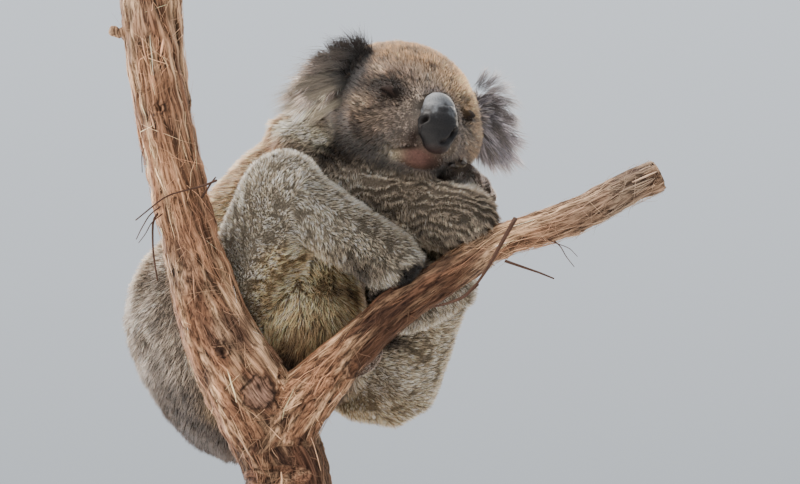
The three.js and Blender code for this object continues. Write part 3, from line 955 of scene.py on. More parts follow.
@dataclass
class Markings:
    """Colours of skin and coat at any place on the animal, each method for one region.

    A region's method takes places in the shared frame and gives a linear colour for each.
    """

    head: HeadFrame
    joints: Joints
    palette: Palette = field(default_factory=Palette)
    # The cream streak under the right ear, in the shared frame's mm.
    streak: Line = ((-26, -58, 604), (-4, -78, 590), (16, -85, 580))
    # The shadowed fold over the nose, sideways and up, in the head's mm.
    arc: Line = ((-9, 16), (1, 20), (13, 16), (20, 4), (22, -10))
    # The lower edge of the right shin and heel, sideways and up, in the shared frame's mm.
    heel_rim: Line = ((50, 432), (66, 429), (81, 433), (90, 441), (96, 449), (106, 454), (131, 462))
    # The long axis of an ear, outwards and down, in the right ear's place in the head.
    ear_middle: Triple = (-90.0, -12.0, 20.0)
    ear_way: Triple = (-0.588, 0.0, -0.809)
    ear_half: float = 60.0
    # Where pale strands start on the right ear, sideways and up, in the head's mm.
    ear_strands: Line = ((-72, 14), (-80, 7), (-88, 0), (-98, -8), (-108, -17))

    def paint(self, first: str, points: Array) -> Paint:
        """Starts with one colour of the palette at every point."""
        return Paint(self.palette, first, points)

    def face(self, points: Array) -> Array:
        """Gives the head's colours: mottled, with a darker crown, a pale muzzle, its marks and painted shade
        in the lines of the eyes and lips.

        Args:
            points: Places in the shared frame.

        Returns:
            A linear colour for each.
        """
        own = self.head.own(points)
        x, y, z = own.T
        face = self.paint("face", points)
        patches = noise(points * (1, 1, 1.6), 16, 12)
        face.lay("face_pale", rise(0.5, 0.8, patches) * 0.85)
        face.lay("face_dark", rise(0.48, 0.2, patches) * 0.75)
        face.lay("crown", rise(8, 46, z + 12 * (noise(points, 14, 3) - 0.5) + 0.3 * y))
        face.lay("muzzle", dome(own, (-4, -66, -14), (34, 30, 26)))
        for mark in FACE_MARKS:
            mark.lay(face, own)
        fold = off_line(own[:, [0, 2]], self.arc) + np.where(y > -50, 20, 0)
        face.lay("mouth_shade", 1.2 * band(fold, 3.0))
        # Painted shade in the line of the lips.
        face.lay("lid", 1.1 * band(off_line(own, LIP_LINE), 2.2))
        # Painted shade in the slit between the shut lids.
        slit = off_line(np.abs(own[:, [0, 2]]), EYE_SLIT) + np.where(y > -36, 20, 0)
        return face.lay("lid", 1.2 * band(slit, 1.8)).tints

    def ear(self, points: Array) -> Array:
        """Gives the ears' colours, dark beside the crown and paler outwards.

        Args:
            points: Places in the shared frame.

        Returns:
            A linear colour for each.
        """
        own = self.head.own(points)
        left = own[:, 0] > 0
        right_place = own * np.where(left, -1, 1)[:, None] ** np.array([1, 0, 0])
        along = (right_place - self.ear_middle) @ np.array(self.ear_way) / self.ear_half
        along = along + 0.3 * (noise(points, 11, 8) - 0.5)
        near = self.paint("ear_dark", points)
        near.lay("ear", rise(-0.35, 0.1, along)).lay("ear_pale", rise(0.2, 0.8, along))
        strands = band(off_line(own[:, [0, 2]], self.ear_strands), 3.2)
        near.lay("throat", 1.5 * strands * rise(0.4, 0.6, noise(points, 4, 18)))
        far = self.paint("far_ear", points).lay("ear_dark", 0.5 * rise(0.2, -0.6, along))
        return np.where(left[:, None], far.tints, near.tints)

    def neck(self, points: Array) -> Array:
        """Gives the neck's colours, which are golden behind."""
        _, y, z = points.T
        coat = self.paint("back", points).lay("nape", rise(0.61, 0.57, z))
        return coat.lay("crown", 0.6 * rise(0.02, 0.06, y) * rise(0.58, 0.64, z)).tints

    def trunk(self, points: Array) -> Array:
        """Gives the colours of back, rump and chest."""
        x, y, z = points.T
        wander = 0.03 * (noise(points, 40, 4) - 0.5)
        coat = self.paint("rump", points).vary(0.75 + 0.5 * noise(points, 14, 15))
        coat.lay("back", rise(0.46, 0.56, z + wander)).lay("rump_low", rise(0.42, 0.32, z + wander))
        front = rise(0.0, -0.03, y) * rise(-0.10, -0.06, x + wander)
        return coat.lay("belly", front * rise(0.55, 0.49, z)).tints

    def arm(self, points: Array) -> Array:
        """Gives the arms' colours, with painted light under the chin, where the head's shadow falls, and a
        painted highlight along the top of the forearm.
        """
        # Painted light that lifts the head's shadow off the arm under the chin.
        chin = dome(points, (0.052, -0.080, 0.547), (0.045, 0.05, 0.016))
        # Painted highlight where the light from behind catches the top of the forearm.
        top = dome(points, (0.142, -0.095, 0.524), (0.030, 0.04, 0.012))
        return self.paint("arm", points).lay("arm_pale", chin * 1.1 + top * 0.7).tints

    def leg(self, points: Array) -> Array:
        """Gives the legs' colours: a painted highlight on the knee, pale under the shin, painted shade lower
        on the shin, warmer on the left haunch and a painted shadow under the branch.

        Args:
            points: Places in the shared frame.

        Returns:
            A linear colour for each.
        """
        x, y, z = points.T
        knee, ankle = self.joints.place("right_knee"), self.joints.place("right_ankle")
        coat = self.paint("leg", points).vary(0.8 + 0.4 * noise(points, 9, 14))
        # Painted highlight on the top of the knee, where the light from behind catches it.
        coat.lay("knee", dome(points, knee + (0, 0, 0.035), (0.05, 0.05, 0.022)) * 0.8)
        shin = ankle - knee
        along = np.clip((points - knee) @ shin / (shin @ shin), 0, 1)
        below = knee[2] + along * shin[2] - z
        near = rise(0.0, -0.05, y)
        # The shin darker towards the ankle, partly its own colour and partly painted shade, and painted shade
        # along its underside.
        coat.lay("shin_shade", near * 0.55 * rise(0.1, 1.0, along))
        coat.lay("shin_shade", rise(0.002, 0.018, below) * near * rise(0.35, 0.8, along) * 0.8)
        coat.lay("knee", rise(0.022, 0.032, below) * near * rise(0.2, 0.6, along) * 0.9)
        far = rise(0.0, 0.05, y) * rise(0.47, 0.42, z)
        coat.lay("haunch", far * (0.35 + 0.5 * noise(points, 22, 6) + 0.6 * rise(0.11, 0.06, x)))
        coat.lay("knee", dome(points, (0.070, 0.030, 0.372), (0.030, 0.07, 0.024)) * 0.8)
        # Painted shadow under the branch, on the left haunch.
        return coat.lay("crotch", dome(points, (0.074, 0.020, 0.408), (0.034, 0.06, 0.016))).tints

    def paw(self, points: Array) -> Array:
        """Gives the hands' and feet's colours: dark where the fingers lie under the chin, with painted light
        on the knuckles beside them.
        """
        own = self.head.own(points)
        coat = self.paint("paw", points)
        # Painted light on the knuckles, against the shade under the chin.
        coat.lay("knee", dome(own, (49, -54, -38), (9, 12, 7)))
        fingers = dome(own, (29, -58, -43), (9, 16, 7.5))
        tips = dome(own, (74, -54, -52), (9, 14, 9))
        return coat.lay("paw_dark", fingers * 1.7 + tips * 0.7).tints

    def belly_share(self, points: Array) -> Array:
        """Gives how far each place belongs to the pale fur of belly and groin."""
        groin = dome(points, (-0.005, -0.080, 0.415), (0.045, 0.080, 0.060))
        return rise(0.22, 0.55, groin * (0.8 + 0.4 * noise(points, 24, 4)))

    def front_share(self, points: Array) -> Array:
        """Gives how far a place on the neck lies in front, where the upper arm covers it."""
        x, y, _ = points.T
        return rise(-0.035, -0.005, x + 0.012 * (noise(points, 12, 9) - 0.5)) * rise(0.02, -0.02, y)

    def groin(self, coat: Paint, points: Array) -> None:
        """Lays the belly's pale fur over the trunk and the legs, with painted shadow in the crotch and under
        the right shin.
        """
        pale = self.paint("belly", points)
        pale.lay("belly_low", rise(0.46, 0.37, points[:, 2] + 0.03 * noise(points, 20, 7)))
        pale.vary(0.75 + 0.5 * noise(points, 12, 16))
        coat.tints = mixed(coat.tints, pale.tints, self.belly_share(points))
        # Painted shadow deep in the crotch and in the fold under the right shin.
        crotch = dome(points, (-0.008, -0.070, 0.350), (0.040, 0.06, 0.028))
        fold = dome(points, (0.050, -0.065, 0.441), (0.024, 0.05, 0.012))
        coat.lay("crotch", crotch * 2.2 + fold * 1.2)

    def heel(self, coat: Paint, points: Array) -> None:
        """Darkens what lies in the shade of the right heel and leaves a pale rim over it."""
        x, y, z = points.T
        above = (z - np.interp(x, *(np.array(self.heel_rim) / 1000).T)) / MM
        near = rise(-0.05, -0.07, y) * rise(0.050, 0.066, x) * rise(0.135, 0.125, x)
        coat.lay("knee", near * 0.8 * band(above - 5, 4))
        coat.lay("paw_dark", near * rise(1.5, -2.5, above))

    def throat(self, coat: Paint, points: Array) -> None:
        """Lays the cream streak under the right ear over neck and arm, with painted shade in the fold beside
        it.
        """
        # Painted shade in the fold of fur beside the streak.
        fold = dome(points, (0.034, -0.085, 0.569), (0.030, 0.05, 0.019))
        coat.lay("face_dark", fold * 1.4 * (0.6 + 0.8 * noise(points, 6, 17)))
        away = off_line(points, np.array(self.streak) / 1000) / MM
        coat.lay("throat", 2.6 * band(away + 7 * (noise(points, 9, 10) - 0.5), 8))

    def at(self, points: Array, shares: Array) -> Array:
        """Mixes the regions' colours and lays over them what crosses the regions.

        Args:
            points: Places in the shared frame.
            shares: Each region's share, a column for each Region.

        Returns:
            A linear colour for each place.
        """
        regions = (self.face, self.ear, self.neck, self.trunk, self.arm, self.leg, self.paw)
        coat = self.paint("back", points)
        coat.tints = sum(region(points) * shares[:, [i]] for i, region in enumerate(regions))
        for lay in (self.groin, self.heel, self.throat):
            lay(coat, points)
        return coat.tints


def off_line(points: Array, line: Array | Line) -> Array:
    """Gives each point's distance from a bent line."""
    line = np.array(line)
    best = np.full(len(points), np.inf)
    for start, end in zip(line[:-1], line[1:]):
        way = end - start
        along = np.clip((points - start) @ way / (way @ way), 0, 1)
        nearest = start + along[:, None] * way
        best = np.minimum(best, norm(points - nearest))
    return best


# ---- skin and coat
@dataclass(frozen=True)
class Bump:
    """A rise or hollow in the face, in the head's own mm."""

    place: Triple
    size: Triple
    height: float
    paired: bool = True


@dataclass
class Body:
    """One skin over all the flesh, and what the coat needs to know of it."""

    head: HeadFrame
    joints: Joints
    markings: Markings
    voxel: float = 2.7 * MM
    closing: float = 0.9 * MM  # how far the solids grow to close the gaps between them
    ear_share: float = 0.6  # the bare ear's size against the fringed one
    ear_root: Triple = (62.0, -4.0, 24.0)
    under_nose: float = 6.0 * MM  # how deep the skin lies under the bare pad
    bumps: tuple[Bump, ...] = (
        Bump((39, -58, 6), (15, 12, 10), -1.6),  # eye sockets
        Bump((36, -48, 28), (22, 16, 9), 3.0),  # brows
        Bump((48, -44, -12), (20, 16, 14), 3.0),  # cheeks
        Bump((28, -64, -26), (13, 14, 10), 2.5),  # whisker pads
        Bump((-12, -64, -48), (22, 15, 6), 4.5, paired=False),  # lower lip
        Bump((-50, -34, -44), (15, 16, 8), -3.0, paired=False),  # the hollow behind it
    )

    def build(self) -> None:
        """Shapes the skin and works out what the coat needs to know."""
        self.flesh = [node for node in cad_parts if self.is_flesh(node)]
        solids = (*self.flesh, "nose", "right_eyelids", "left_eyelids")
        self.skin = Surface.over((node_arrays(node, self.closing) for node in solids), self.voxel)
        self.shares, flow = self.belonging()
        self.lend_front()
        self.skin.relax(5)
        outer = self.skin.points.copy()
        self.shrink()
        self.sculpt()
        self.skin.relax(1)
        self.fringe = outer - self.skin.points
        self.normal = self.skin.normals()
        ear = rise(0.3, 0.7, self.share(Region.EAR))[:, None]
        flow = unit(flow) * (1 - ear) + unit(self.fringe) * ear
        self.flow = unit(self.skin.softened(unit(flattened(flow, self.normal)), 6))
        self.tints = self.markings.at(self.skin.points, self.shares)

    @staticmethod
    def is_flesh(node: str) -> bool:
        """Says whether a node is part of the soft body."""
        hard = ("perch", "stand", "nose", "eyelids", "claw")
        return not any(word in node for word in hard)

    def belonging(self) -> Pair:
        """Finds each skin point's region and the way its coat lies."""
        places = self.skin.points
        solids = [node_arrays(node) for node in self.flesh]
        face, away = nearest_face(joined(solids), places)
        owner = np.repeat(np.arange(len(solids)), [len(faces) for _, faces in solids])[face]
        _, to_pad = nearest_face(node_arrays("nose"), places)
        self.bare = rise(0.3, 0.6, self.skin.softened((to_pad < away).astype(float), 3))
        shares, flow = np.zeros((len(owner), len(Region))), np.zeros((len(owner), 3))
        for number, node in enumerate(self.flesh):
            mine = owner == number
            shares[mine, Region.of(node).column] = 1
            flow[mine] = self.lie(node, places[mine])
        self.side = np.where(self.head.local(places)[:, 0] > 0, 1, -1)
        return self.skin.softened(shares, 6), self.skin.softened(flow, 12)

    def lie(self, node: str, points: Array) -> Array:
        """Gives the way the coat lies on a node, root to tip.

        Args:
            node: The node that the points belong to.
            points: Places on it.

        Returns:
            A direction for each.
        """
        side = node.split("_", 1)[0]
        lines = {
            "upper_arm": ("shoulder", "elbow", 0.9),
            "forearm": ("elbow", "wrist", 0.2),
            "thigh": ("hip", "knee", 0.5),
            "shin": ("knee", "ankle", 0.4),
            "hand": ("elbow", "wrist", 0.0),
            "foot": ("knee", "ankle", 0.0),
        }
        if node == "head" or node.endswith("ear"):
            own = self.head.local(points) - np.array([0, -88, -6]) * MM
            return unit(own * (1, 1, 1.1)) @ self.head.axes
        if node in ("trunk", "neck"):
            return unit(self.joints.place("rump_end") - points)
        start, end, droop = lines[node.split("_", 1)[1]]
        way = self.joints.way(f"{side}_{start}", f"{side}_{end}", droop)
        return np.tile(way, (len(points), 1))

    def lend_front(self) -> None:
        """Gives the neck's front, which the arm lies over, to the arm."""
        lent = self.share(Region.NECK) * self.markings.front_share(self.skin.points)
        self.shares[:, Region.NECK.column] -= lent
        self.shares[:, Region.ARM.column] += lent

    def share(self, region: Region) -> Array:
        """Gives each skin point's share of a region."""
        return self.shares[:, region.column]

    def face_fineness(self, points: Array) -> Array:
        """Gives how much shorter the coat is on the face: 1 is the full length."""
        own = self.head.own(points)
        near_nose = rise(18, 66, norm(own - (0, -78, -16)))
        full = 0.36 + 0.64 * near_nose
        for side in (-1, 1):
            eye = dome(own, (side * 40, -58, 8), (16, 14, 9))
            full = full * (1 - 0.75 * eye)
        lip = dome(own, (-6, -66, -48), (27, 16, 10))
        return full * (1 - 0.65 * np.clip(1.3 * lip, 0, 1))

    def shrink(self) -> None:
        """Draws the skin in by the coat's depth, and the ears to their bare size."""
        inset = self.shares @ np.array([PELTS[region].inset * MM for region in Region])
        inset *= 1 - self.share(Region.HEAD) * (1 - self.face_fineness(self.skin.points))
        inset = self.skin.softened(inset, 4) + self.under_nose * self.bare
        points = self.skin.points - self.skin.normals() * inset[:, None]
        ear = rise(0.3, 0.9, self.share(Region.EAR)) * (1 - self.ear_share)
        for side in (-1, 1):
            root = self.head.world(np.array([self.ear_root]) * (side, 1, 1) * MM)
            points = points + (root - points) * (ear * (self.side == side))[:, None]
        self.skin.points = points

    def sculpt(self) -> None:
        """Raises the brows and cheeks, and cuts the line of the lips."""
        own = self.head.own(self.skin.points)
        height = np.zeros(len(own))
        for bump in self.bumps:
            for side in (1, -1) if bump.paired else (1,):
                place = np.array(bump.place) * (side, 1, 1)
                height += bump.height * dome(own, place, bump.size)
        right = own * np.where(own[:, :1] > 0, (-1, 1, 1), (1, 1, 1))
        height -= 3.5 * band(off_line(right, LIP_LINE), 2.4)
        slit = off_line(np.abs(own[:, [0, 2]]), EYE_SLIT)
        height -= 2.0 * band(slit, 1.6) * rise(-36, -44, own[:, 1])
        height *= self.share(Region.HEAD)
        self.skin.raise_by(height)

    def dress(self, finish: TintedFinish) -> Piece:
        """Makes the skin's own piece and its unwrap.

        Args:
            finish: What shows between the hairs.

        Returns:
            The piece.
        """
        own = self.head.own(self.skin.points)
        bare = dome(own, (-8, -70, -34), (34, 26, 26)) * 1.6
        shade = (0.15 + 0.22 * np.clip(bare, 0, 1))[:, None]
        piece = self.skin.piece("skin", finish.material(), self.tints * shade)
        piece.data.uv_layers.new(name="OFBake")
        bpy.context.view_layer.objects.active = piece
        piece.select_set(True)
        bpy.ops.object.mode_set(mode="EDIT")
        bpy.ops.mesh.select_all(action="SELECT")
        bpy.ops.uv.smart_project(angle_limit=math.radians(66), island_margin=0.004)
        bpy.ops.object.mode_set(mode="OBJECT")
        piece.select_set(False)
        unwrap = np.empty(2 * len(piece.data.loops), np.float32)
        piece.data.uv_layers["OFBake"].data.foreach_get("uv", unwrap)
        self.unwrap = unwrap.reshape(-1, 2)
        return piece

    def sizes(self) -> Array:
        """Gives the columns of Pelt.row at each skin point."""
        sizes = self.shares @ np.array([PELTS[region].row() for region in Region])
        fine = 1 - self.share(Region.HEAD) * (1 - self.face_fineness(self.skin.points))
        length, width, lift, density, clump, _, fleck, _, _ = sizes.T
        length *= fine
        width *= 0.55 + 0.45 * fine
        lift *= 0.6 + 0.4 * fine
        density *= 1 + 0.6 * (1 - fine)
        ear = rise(0.3, 0.7, self.share(Region.EAR))
        fringe = norm(self.fringe) * 1.05 + 3 * MM
        length += (fringe - length) * ear
        upright = np.clip((unit(self.fringe) * self.normal).sum(axis=1), 0.2, 0.98)
        lift += (np.degrees(np.arcsin(upright)) - lift) * ear
        belly = self.markings.belly_share(self.skin.points) * (1 - self.share(Region.HEAD))
        length *= 1 + 0.7 * belly
        clump *= 1 + 0.5 * belly
        fleck *= 1 - 0.5 * belly
        density *= rise(0.6, 0.1, self.bare)
        return sizes

    def unwrapped(self, points: Array) -> Array:
        """Gives the place on the unwrap of the skin's corner that is nearest to each point."""
        loop = np.zeros(len(self.skin.points), int)
        loop[self.skin.quads.ravel()] = np.arange(self.skin.quads.size)
        return self.unwrap[loop[nearest_of(self.skin.points, points)]]

    def growth(self, count_share: float, rng: Chance) -> Growth:
        """Spreads the roots of the coat over the skin."""
        sizes = self.sizes()
        sizes[:, 3] *= count_share
        spread = self.skin.scatter(sizes[:, 3], rng)
        points, shares = spread.read(self.skin.points), spread.read(self.shares)
        normals, flow = unit(spread.read(self.normal)), unit(spread.read(self.flow))
        places = spread.read(self.unwrap, by_loop=True)
        return Growth(points, normals, shares, flow, spread.read(sizes), spread.read(self.tints), places)


@dataclass
class Coat:
    """The fur: tapering hairs rooted in the skin, gathered into clumps at their tips."""

    material: Material
    ear_tip: str
    most: int = 190000  # triangles in one piece
    sink: float = 0.8 * MM  # how deep a root stands in the skin
    ripple_period: float = 8.0 * MM
    ripple_slope: float = 0.27  # how steeply the arms' ripples fall
    droop: float = 0.16  # how far the ears' fringe hangs, as a share of its length

    def hairs(self, growth: Growth, rng: Chance) -> Hairs:
        """Shapes the hairs.

        Args:
            growth: What is known at each root.
            rng: The seeded source of chance.

        Returns:
            All the hairs.
        """
        count = len(growth.points)
        length, width, lift, _, _, curled, fleck, grizzle, gather = growth.sizes.T
        ridge, climb = self.ripples(growth)
        ridge = ridge * (1 - 0.9 * self.partings(growth))
        length = length * (0.75 + 0.45 * rng.random(count)) * (0.55 + 0.45 * ridge)
        swirl = (noise(growth.points, 22, 11) - 0.5) * 0.9 + rng.normal(0, 0.34, count)
        beside = np.cross(growth.normals, growth.flow)
        way = between(growth.flow, beside, swirl)
        angle = np.radians(lift) * (0.8 + 0.4 * rng.random(count))
        start = between(way, growth.normals, angle)
        roots = growth.points - growth.normals * self.sink
        bends = roots + start * (length * 0.6)[:, None]
        ear = growth.share(Region.EAR)
        end = between(way, growth.normals, angle * (0.5 + 0.35 * ear))
        tips = bends + end * (length * 0.5)[:, None]
        tips = tips - np.outer(length * ear * self.droop, [0, 0, 1])
        lean, tone = self.gathering(growth, tips, rng)
        lean = lean * gather[:, None]
        tips = tips + lean + climb
        bends = bends + lean * 0.25
        # Painted shade: hairs in the ripples' furrows and in the partings come out darker, through ridge.
        light = tone**fleck * (0.07 + 1.0 * ridge) * np.exp(rng.normal(0, 1, count) * grizzle)
        tip_tints = growth.tints * (1.4 * light)[:, None]
        pale = rise(0.5, 0.9, ear) * rng.random(count) ** 2 * rise(0.03, 0.2, growth.tints.mean(axis=1))
        tip_tints = mixed(tip_tints, tint(self.ear_tip), pale * 0.9)
        middles = growth.tints * (0.85 * light)[:, None]
        cuts = np.where(rng.random(count) < curled, 1, 0)
        cuts[(ear > 0.5) & (length > 11 * MM)] = 2
        widths = width * (0.8 + 0.4 * rng.random(count))
        across = unit(np.cross(start, growth.normals))
        # The roots are darker: partly the darker underfur, partly painted shade deep in the coat, deepest in
        # the furrows.
        tints = np.stack([growth.tints * (0.2 + 0.15 * ridge)[:, None], middles, tip_tints], axis=1)
        return Hairs(roots, bends, tips, widths, across, tints, growth.places, cuts)

    def ripples(self, growth: Growth) -> Pair:
        """Finds the arms' ripples.

        Args:
            growth: What is known at each root.

        Returns:
            1 on a ridge and less in a furrow, and the way from each tip towards its ridge.
        """
        x, _, z = growth.points.T
        arm = growth.share(Region.ARM) * rise(0.0, 0.03, x)
        phase = (z + self.ripple_slope * x) / self.ripple_period
        phase = phase + 1.8 * noise(growth.points, 17, 21) + 1.3 * noise(growth.points, 9, 25)
        depth = 0.45 + 0.55 * rise(0.3, 0.55, noise(growth.points * (0.6, 0.6, 1), 7, 22))
        ridge = 1 - depth * (0.5 - 0.5 * np.sin(2 * math.pi * phase)) ** 1.2
        climb = np.cos(2 * math.pi * phase) * arm * self.ripple_period * 0.28
        return 1 - arm * (1 - ridge), climb[:, None] * (self.ripple_slope, 0, 1)

    def partings(self, growth: Growth) -> Array:
        """Gives up to 1 in the short upright partings of the coat and 0 beside them."""
        squeezed = growth.points * (1, 1, 0.5)
        share = growth.share(Region.LEG) + 0.5 * growth.share(Region.TRUNK) + 0.6 * growth.share(Region.HEAD)
        patches = rise(0.3, 0.5, noise(growth.points, 14, 24))
        return rise(0.74, 0.94, creased(squeezed, 9, 23)) * patches * share

    def gathering(self, growth: Growth, tips: Array, rng: Chance) -> Pair:
        """Gives the way from each tip to the middle of its clump, and the clump's tone."""
        density, clump = growth.sizes.T[3:5]
        leaders = np.flatnonzero(rng.random(len(tips)) < 1 / (density * clump**2))
        found = nearest_of(growth.points[leaders], growth.points)
        tone = np.exp(rng.normal(0, 0.28, len(leaders)))
        tone[rng.random(len(leaders)) < 0.14] *= 0.5
        return tips[leaders][found] - tips, tone[found]

    def pieces(self, title: str, hairs: Hairs) -> list[Piece]:
        """Makes hairs into pieces with a bounded number of triangles.

        Args:
            title: The middle of each piece's name.
            hairs: The hairs.

        Returns:
            The pieces, from the lowest to the highest.
        """
        cost = np.array([cut.triangles for cut in Cut])[hairs.cuts]
        order = np.argsort(hairs.roots @ (0.3, 0.2, 1.0))
        part = np.cumsum(cost[order]) // self.most
        made = []
        for number in range(part[-1] + 1):
            locks = []
            for kind, cut in enumerate(Cut):
                chosen = order[(part == number) & (hairs.cuts[order] == kind)]
                if len(chosen):
                    locks.append(hairs.some(chosen).locks(cut).arrays())
            solid = joined((points, faces) for points, faces, _, _ in locks)
            tints, places = (np.concatenate([own[i] for own in locks]) for i in (2, 3))
            name = f"coat_{title}_{number + 1}"
            made.append(mesh_piece(name, *solid, self.material, tints, places))
        return made

    def grow(self, growth: Growth) -> list[Piece]:
        """Grows the whole coat and parts it by region."""
        hairs = self.hairs(growth, np.random.default_rng(SEED))
        owner = growth.shares.argmax(axis=1)
        made = []
        for number, region in enumerate(Region):
            made += self.pieces(region.value, hairs.some(np.flatnonzero(owner == number)))
        return made


# ---- turned and swept forms
def capped(rings: Array) -> Solid:
    """Skins a stack of rings, with a fan over each end.

    Args:
        rings: The rings' points: ring, corner, xyz.

    Returns:
        Points and triangles of a closed mesh.
    """
    count, sides = rings.shape[:2]
    points = np.concatenate([rings.reshape(-1, 3), rings[[0, -1]].mean(axis=1)])
    corner = np.arange(sides)
    after = (corner + 1) % sides
    faces = []
    for ring in range(count - 1):
        a, b = ring * sides + corner, ring * sides + after
        faces += [np.stack([a, b, b + sides], 1), np.stack([a, b + sides, a + sides], 1)]
    first, last = count * sides, count * sides + 1
    top = (count - 1) * sides
    faces.append(np.stack([after, corner, np.full(sides, first)], 1))
    faces.append(np.stack([top + corner, top + after, np.full(sides, last)], 1))
    return points, np.concatenate(faces)


def tube(centres: Array, radii: Array, sides: int, flatness: float = 1.0) -> Solid:
    """Sweeps a round or oval section along a path.

    Args:
        centres: Points along the path.
        radii: The radius at each point.
        sides: Corners of the section.
        flatness: Its thickness as a share of its width.

    Returns:
        Points and triangles of a closed mesh.
    """
    ways = unit(np.gradient(centres, axis=0))
    side = np.cross(ways[0], (0, 0, 1) if abs(ways[0][2]) < 0.9 else (0, 1, 0))
    rings = []
    angles = turns(sides)[:, None]
    for centre, way, radius in zip(centres, ways, radii):
        side = unit(side - way * (side @ way))
        up = np.cross(way, side) * flatness
        rings.append(centre + (side * np.cos(angles) + up * np.sin(angles)) * radius)
    return capped(np.array(rings))


def lathe(profile: list[tuple[float, float]], centre: Array, sides: int) -> Solid:
    """Turns a profile of radius and height about an upright axis."""
    angles = turns(sides)
    circle = np.stack([np.cos(angles), np.sin(angles), np.zeros(sides)], axis=1)
    rings = [circle * radius + centre + (0, 0, height) for radius, height in profile]
    return capped(np.array(rings))


def ellipsoid(centre: Array, radii: Array, axes: Array, sides: int = 32) -> Solid:
    """Makes an egg of given radii along given axes."""
    slopes = np.linspace(-0.49, 0.49, sides // 2) * math.pi
    slope, angle = np.meshgrid(slopes, turns(sides), indexing="ij")
    ball = np.stack([np.cos(slope) * np.cos(angle), np.cos(slope) * np.sin(angle), np.sin(slope)], 2)
    return capped((ball * radii) @ axes + centre)


def tilted(axes: Array, number: int, degrees: float) -> Array:
    """Gives axes turned about one of themselves."""
    turn = Matrix.Rotation(math.radians(degrees), 3, Vector(np.eye(3)[number]))
    return np.array(turn).T @ axes


# ---- nose, lids and claws
@dataclass
class Nose:
    """The bare leathery nose pad."""

    head: HeadFrame
    voxel: float = 1.0 * MM
    top: str = "63676c"
    middle: str = "121012"
    tip: str = "2c1f1e"
    # Painted shade inside the nostrils.
    inside: str = "1f1410"
    # Each lobe: place, radii and tilt in the head's mm and degrees.
    lobes: tuple[tuple[Triple, Triple, float], ...] = (
        ((2, -74, 1), (16.5, 12.2, 16.5), -14),
        ((2, -77, -6), (18.4, 12.6, 16.5), -9),
        ((2, -79, -14), (19.5, 12.8, 19.0), -4),
        ((2, -79, -22), (17.4, 12.2, 15.5), -2),
        ((3, -79, -30), (13.6, 11.2, 11.5), 0),
    )
    nostrils: tuple[tuple[Triple, ...], ...] = (
        ((3, -92, -33), (8, -92, -30), (12.5, -91, -25), (14.5, -88, -18.5)),
        ((-18, -80, -24), (-19, -80, -18.5), (-15, -86, -14.5)),
    )
    groove: tuple[Triple, ...] = ((-1, -93, -22), (-1, -91, -33), (1, -87, -43))
    creases: tuple[float, ...] = (0.5, -6.0)  # heights of the shallow folds over the bridge

    def build(self) -> Piece:
        """Models the pad, its nostrils and its groove."""
        lobes = []
        for place, radii, tilt in self.lobes:
            centre = self.head.world(np.array([place]) * MM)[0]
            lobes.append(ellipsoid(centre, np.array(radii) * MM, tilted(self.head.axes, 0, tilt)))
        skin = Surface.over(lobes, self.voxel)
        skin.relax(10)
        own = self.head.own(skin.points)
        x, _, z = own.T
        pits, wings, folds = np.zeros((3, len(own)))
        for slit in self.nostrils:
            away = off_line(own, slit)
            pits = np.maximum(pits, band(away, 2.4, 4))
            wings = np.maximum(wings, band(away - 4.5, 2.2))
        cut = band(off_line(own, self.groove), 1.5)
        for height in self.creases:
            wave = z - height - 0.09 * x - 6 * noise(skin.points, 9, 42)
            folds += band(wave, 0.7) * rise(13, 4, np.abs(x - 3))
        skin.raise_by(1.3 * wings - 5.0 * pits - 1.1 * cut - 0.35 * folds)
        above = z - 0.09 * x + 14 * (noise(skin.points, 8, 41) - 0.5)
        above = above + 7 * (noise(skin.points, 2.4, 43) - 0.5)
        coat = Paint(self, "middle", own).lay("top", rise(-6, 3, above))
        # Painted shade inside the nostrils.
        coat.lay("tip", rise(-33, -41, z) * 0.9).lay("inside", pits * 1.4, 0.45)
        # Painted shade in the groove and in the folds over the bridge.
        coat.vary(1 - 0.6 * cut - 0.25 * np.clip(folds, 0, 1))
        finish = LeatherFinish("nose_leather", 0.4, 900.0)
        return skin.piece("nose_pad", finish.material(), coat.tints)


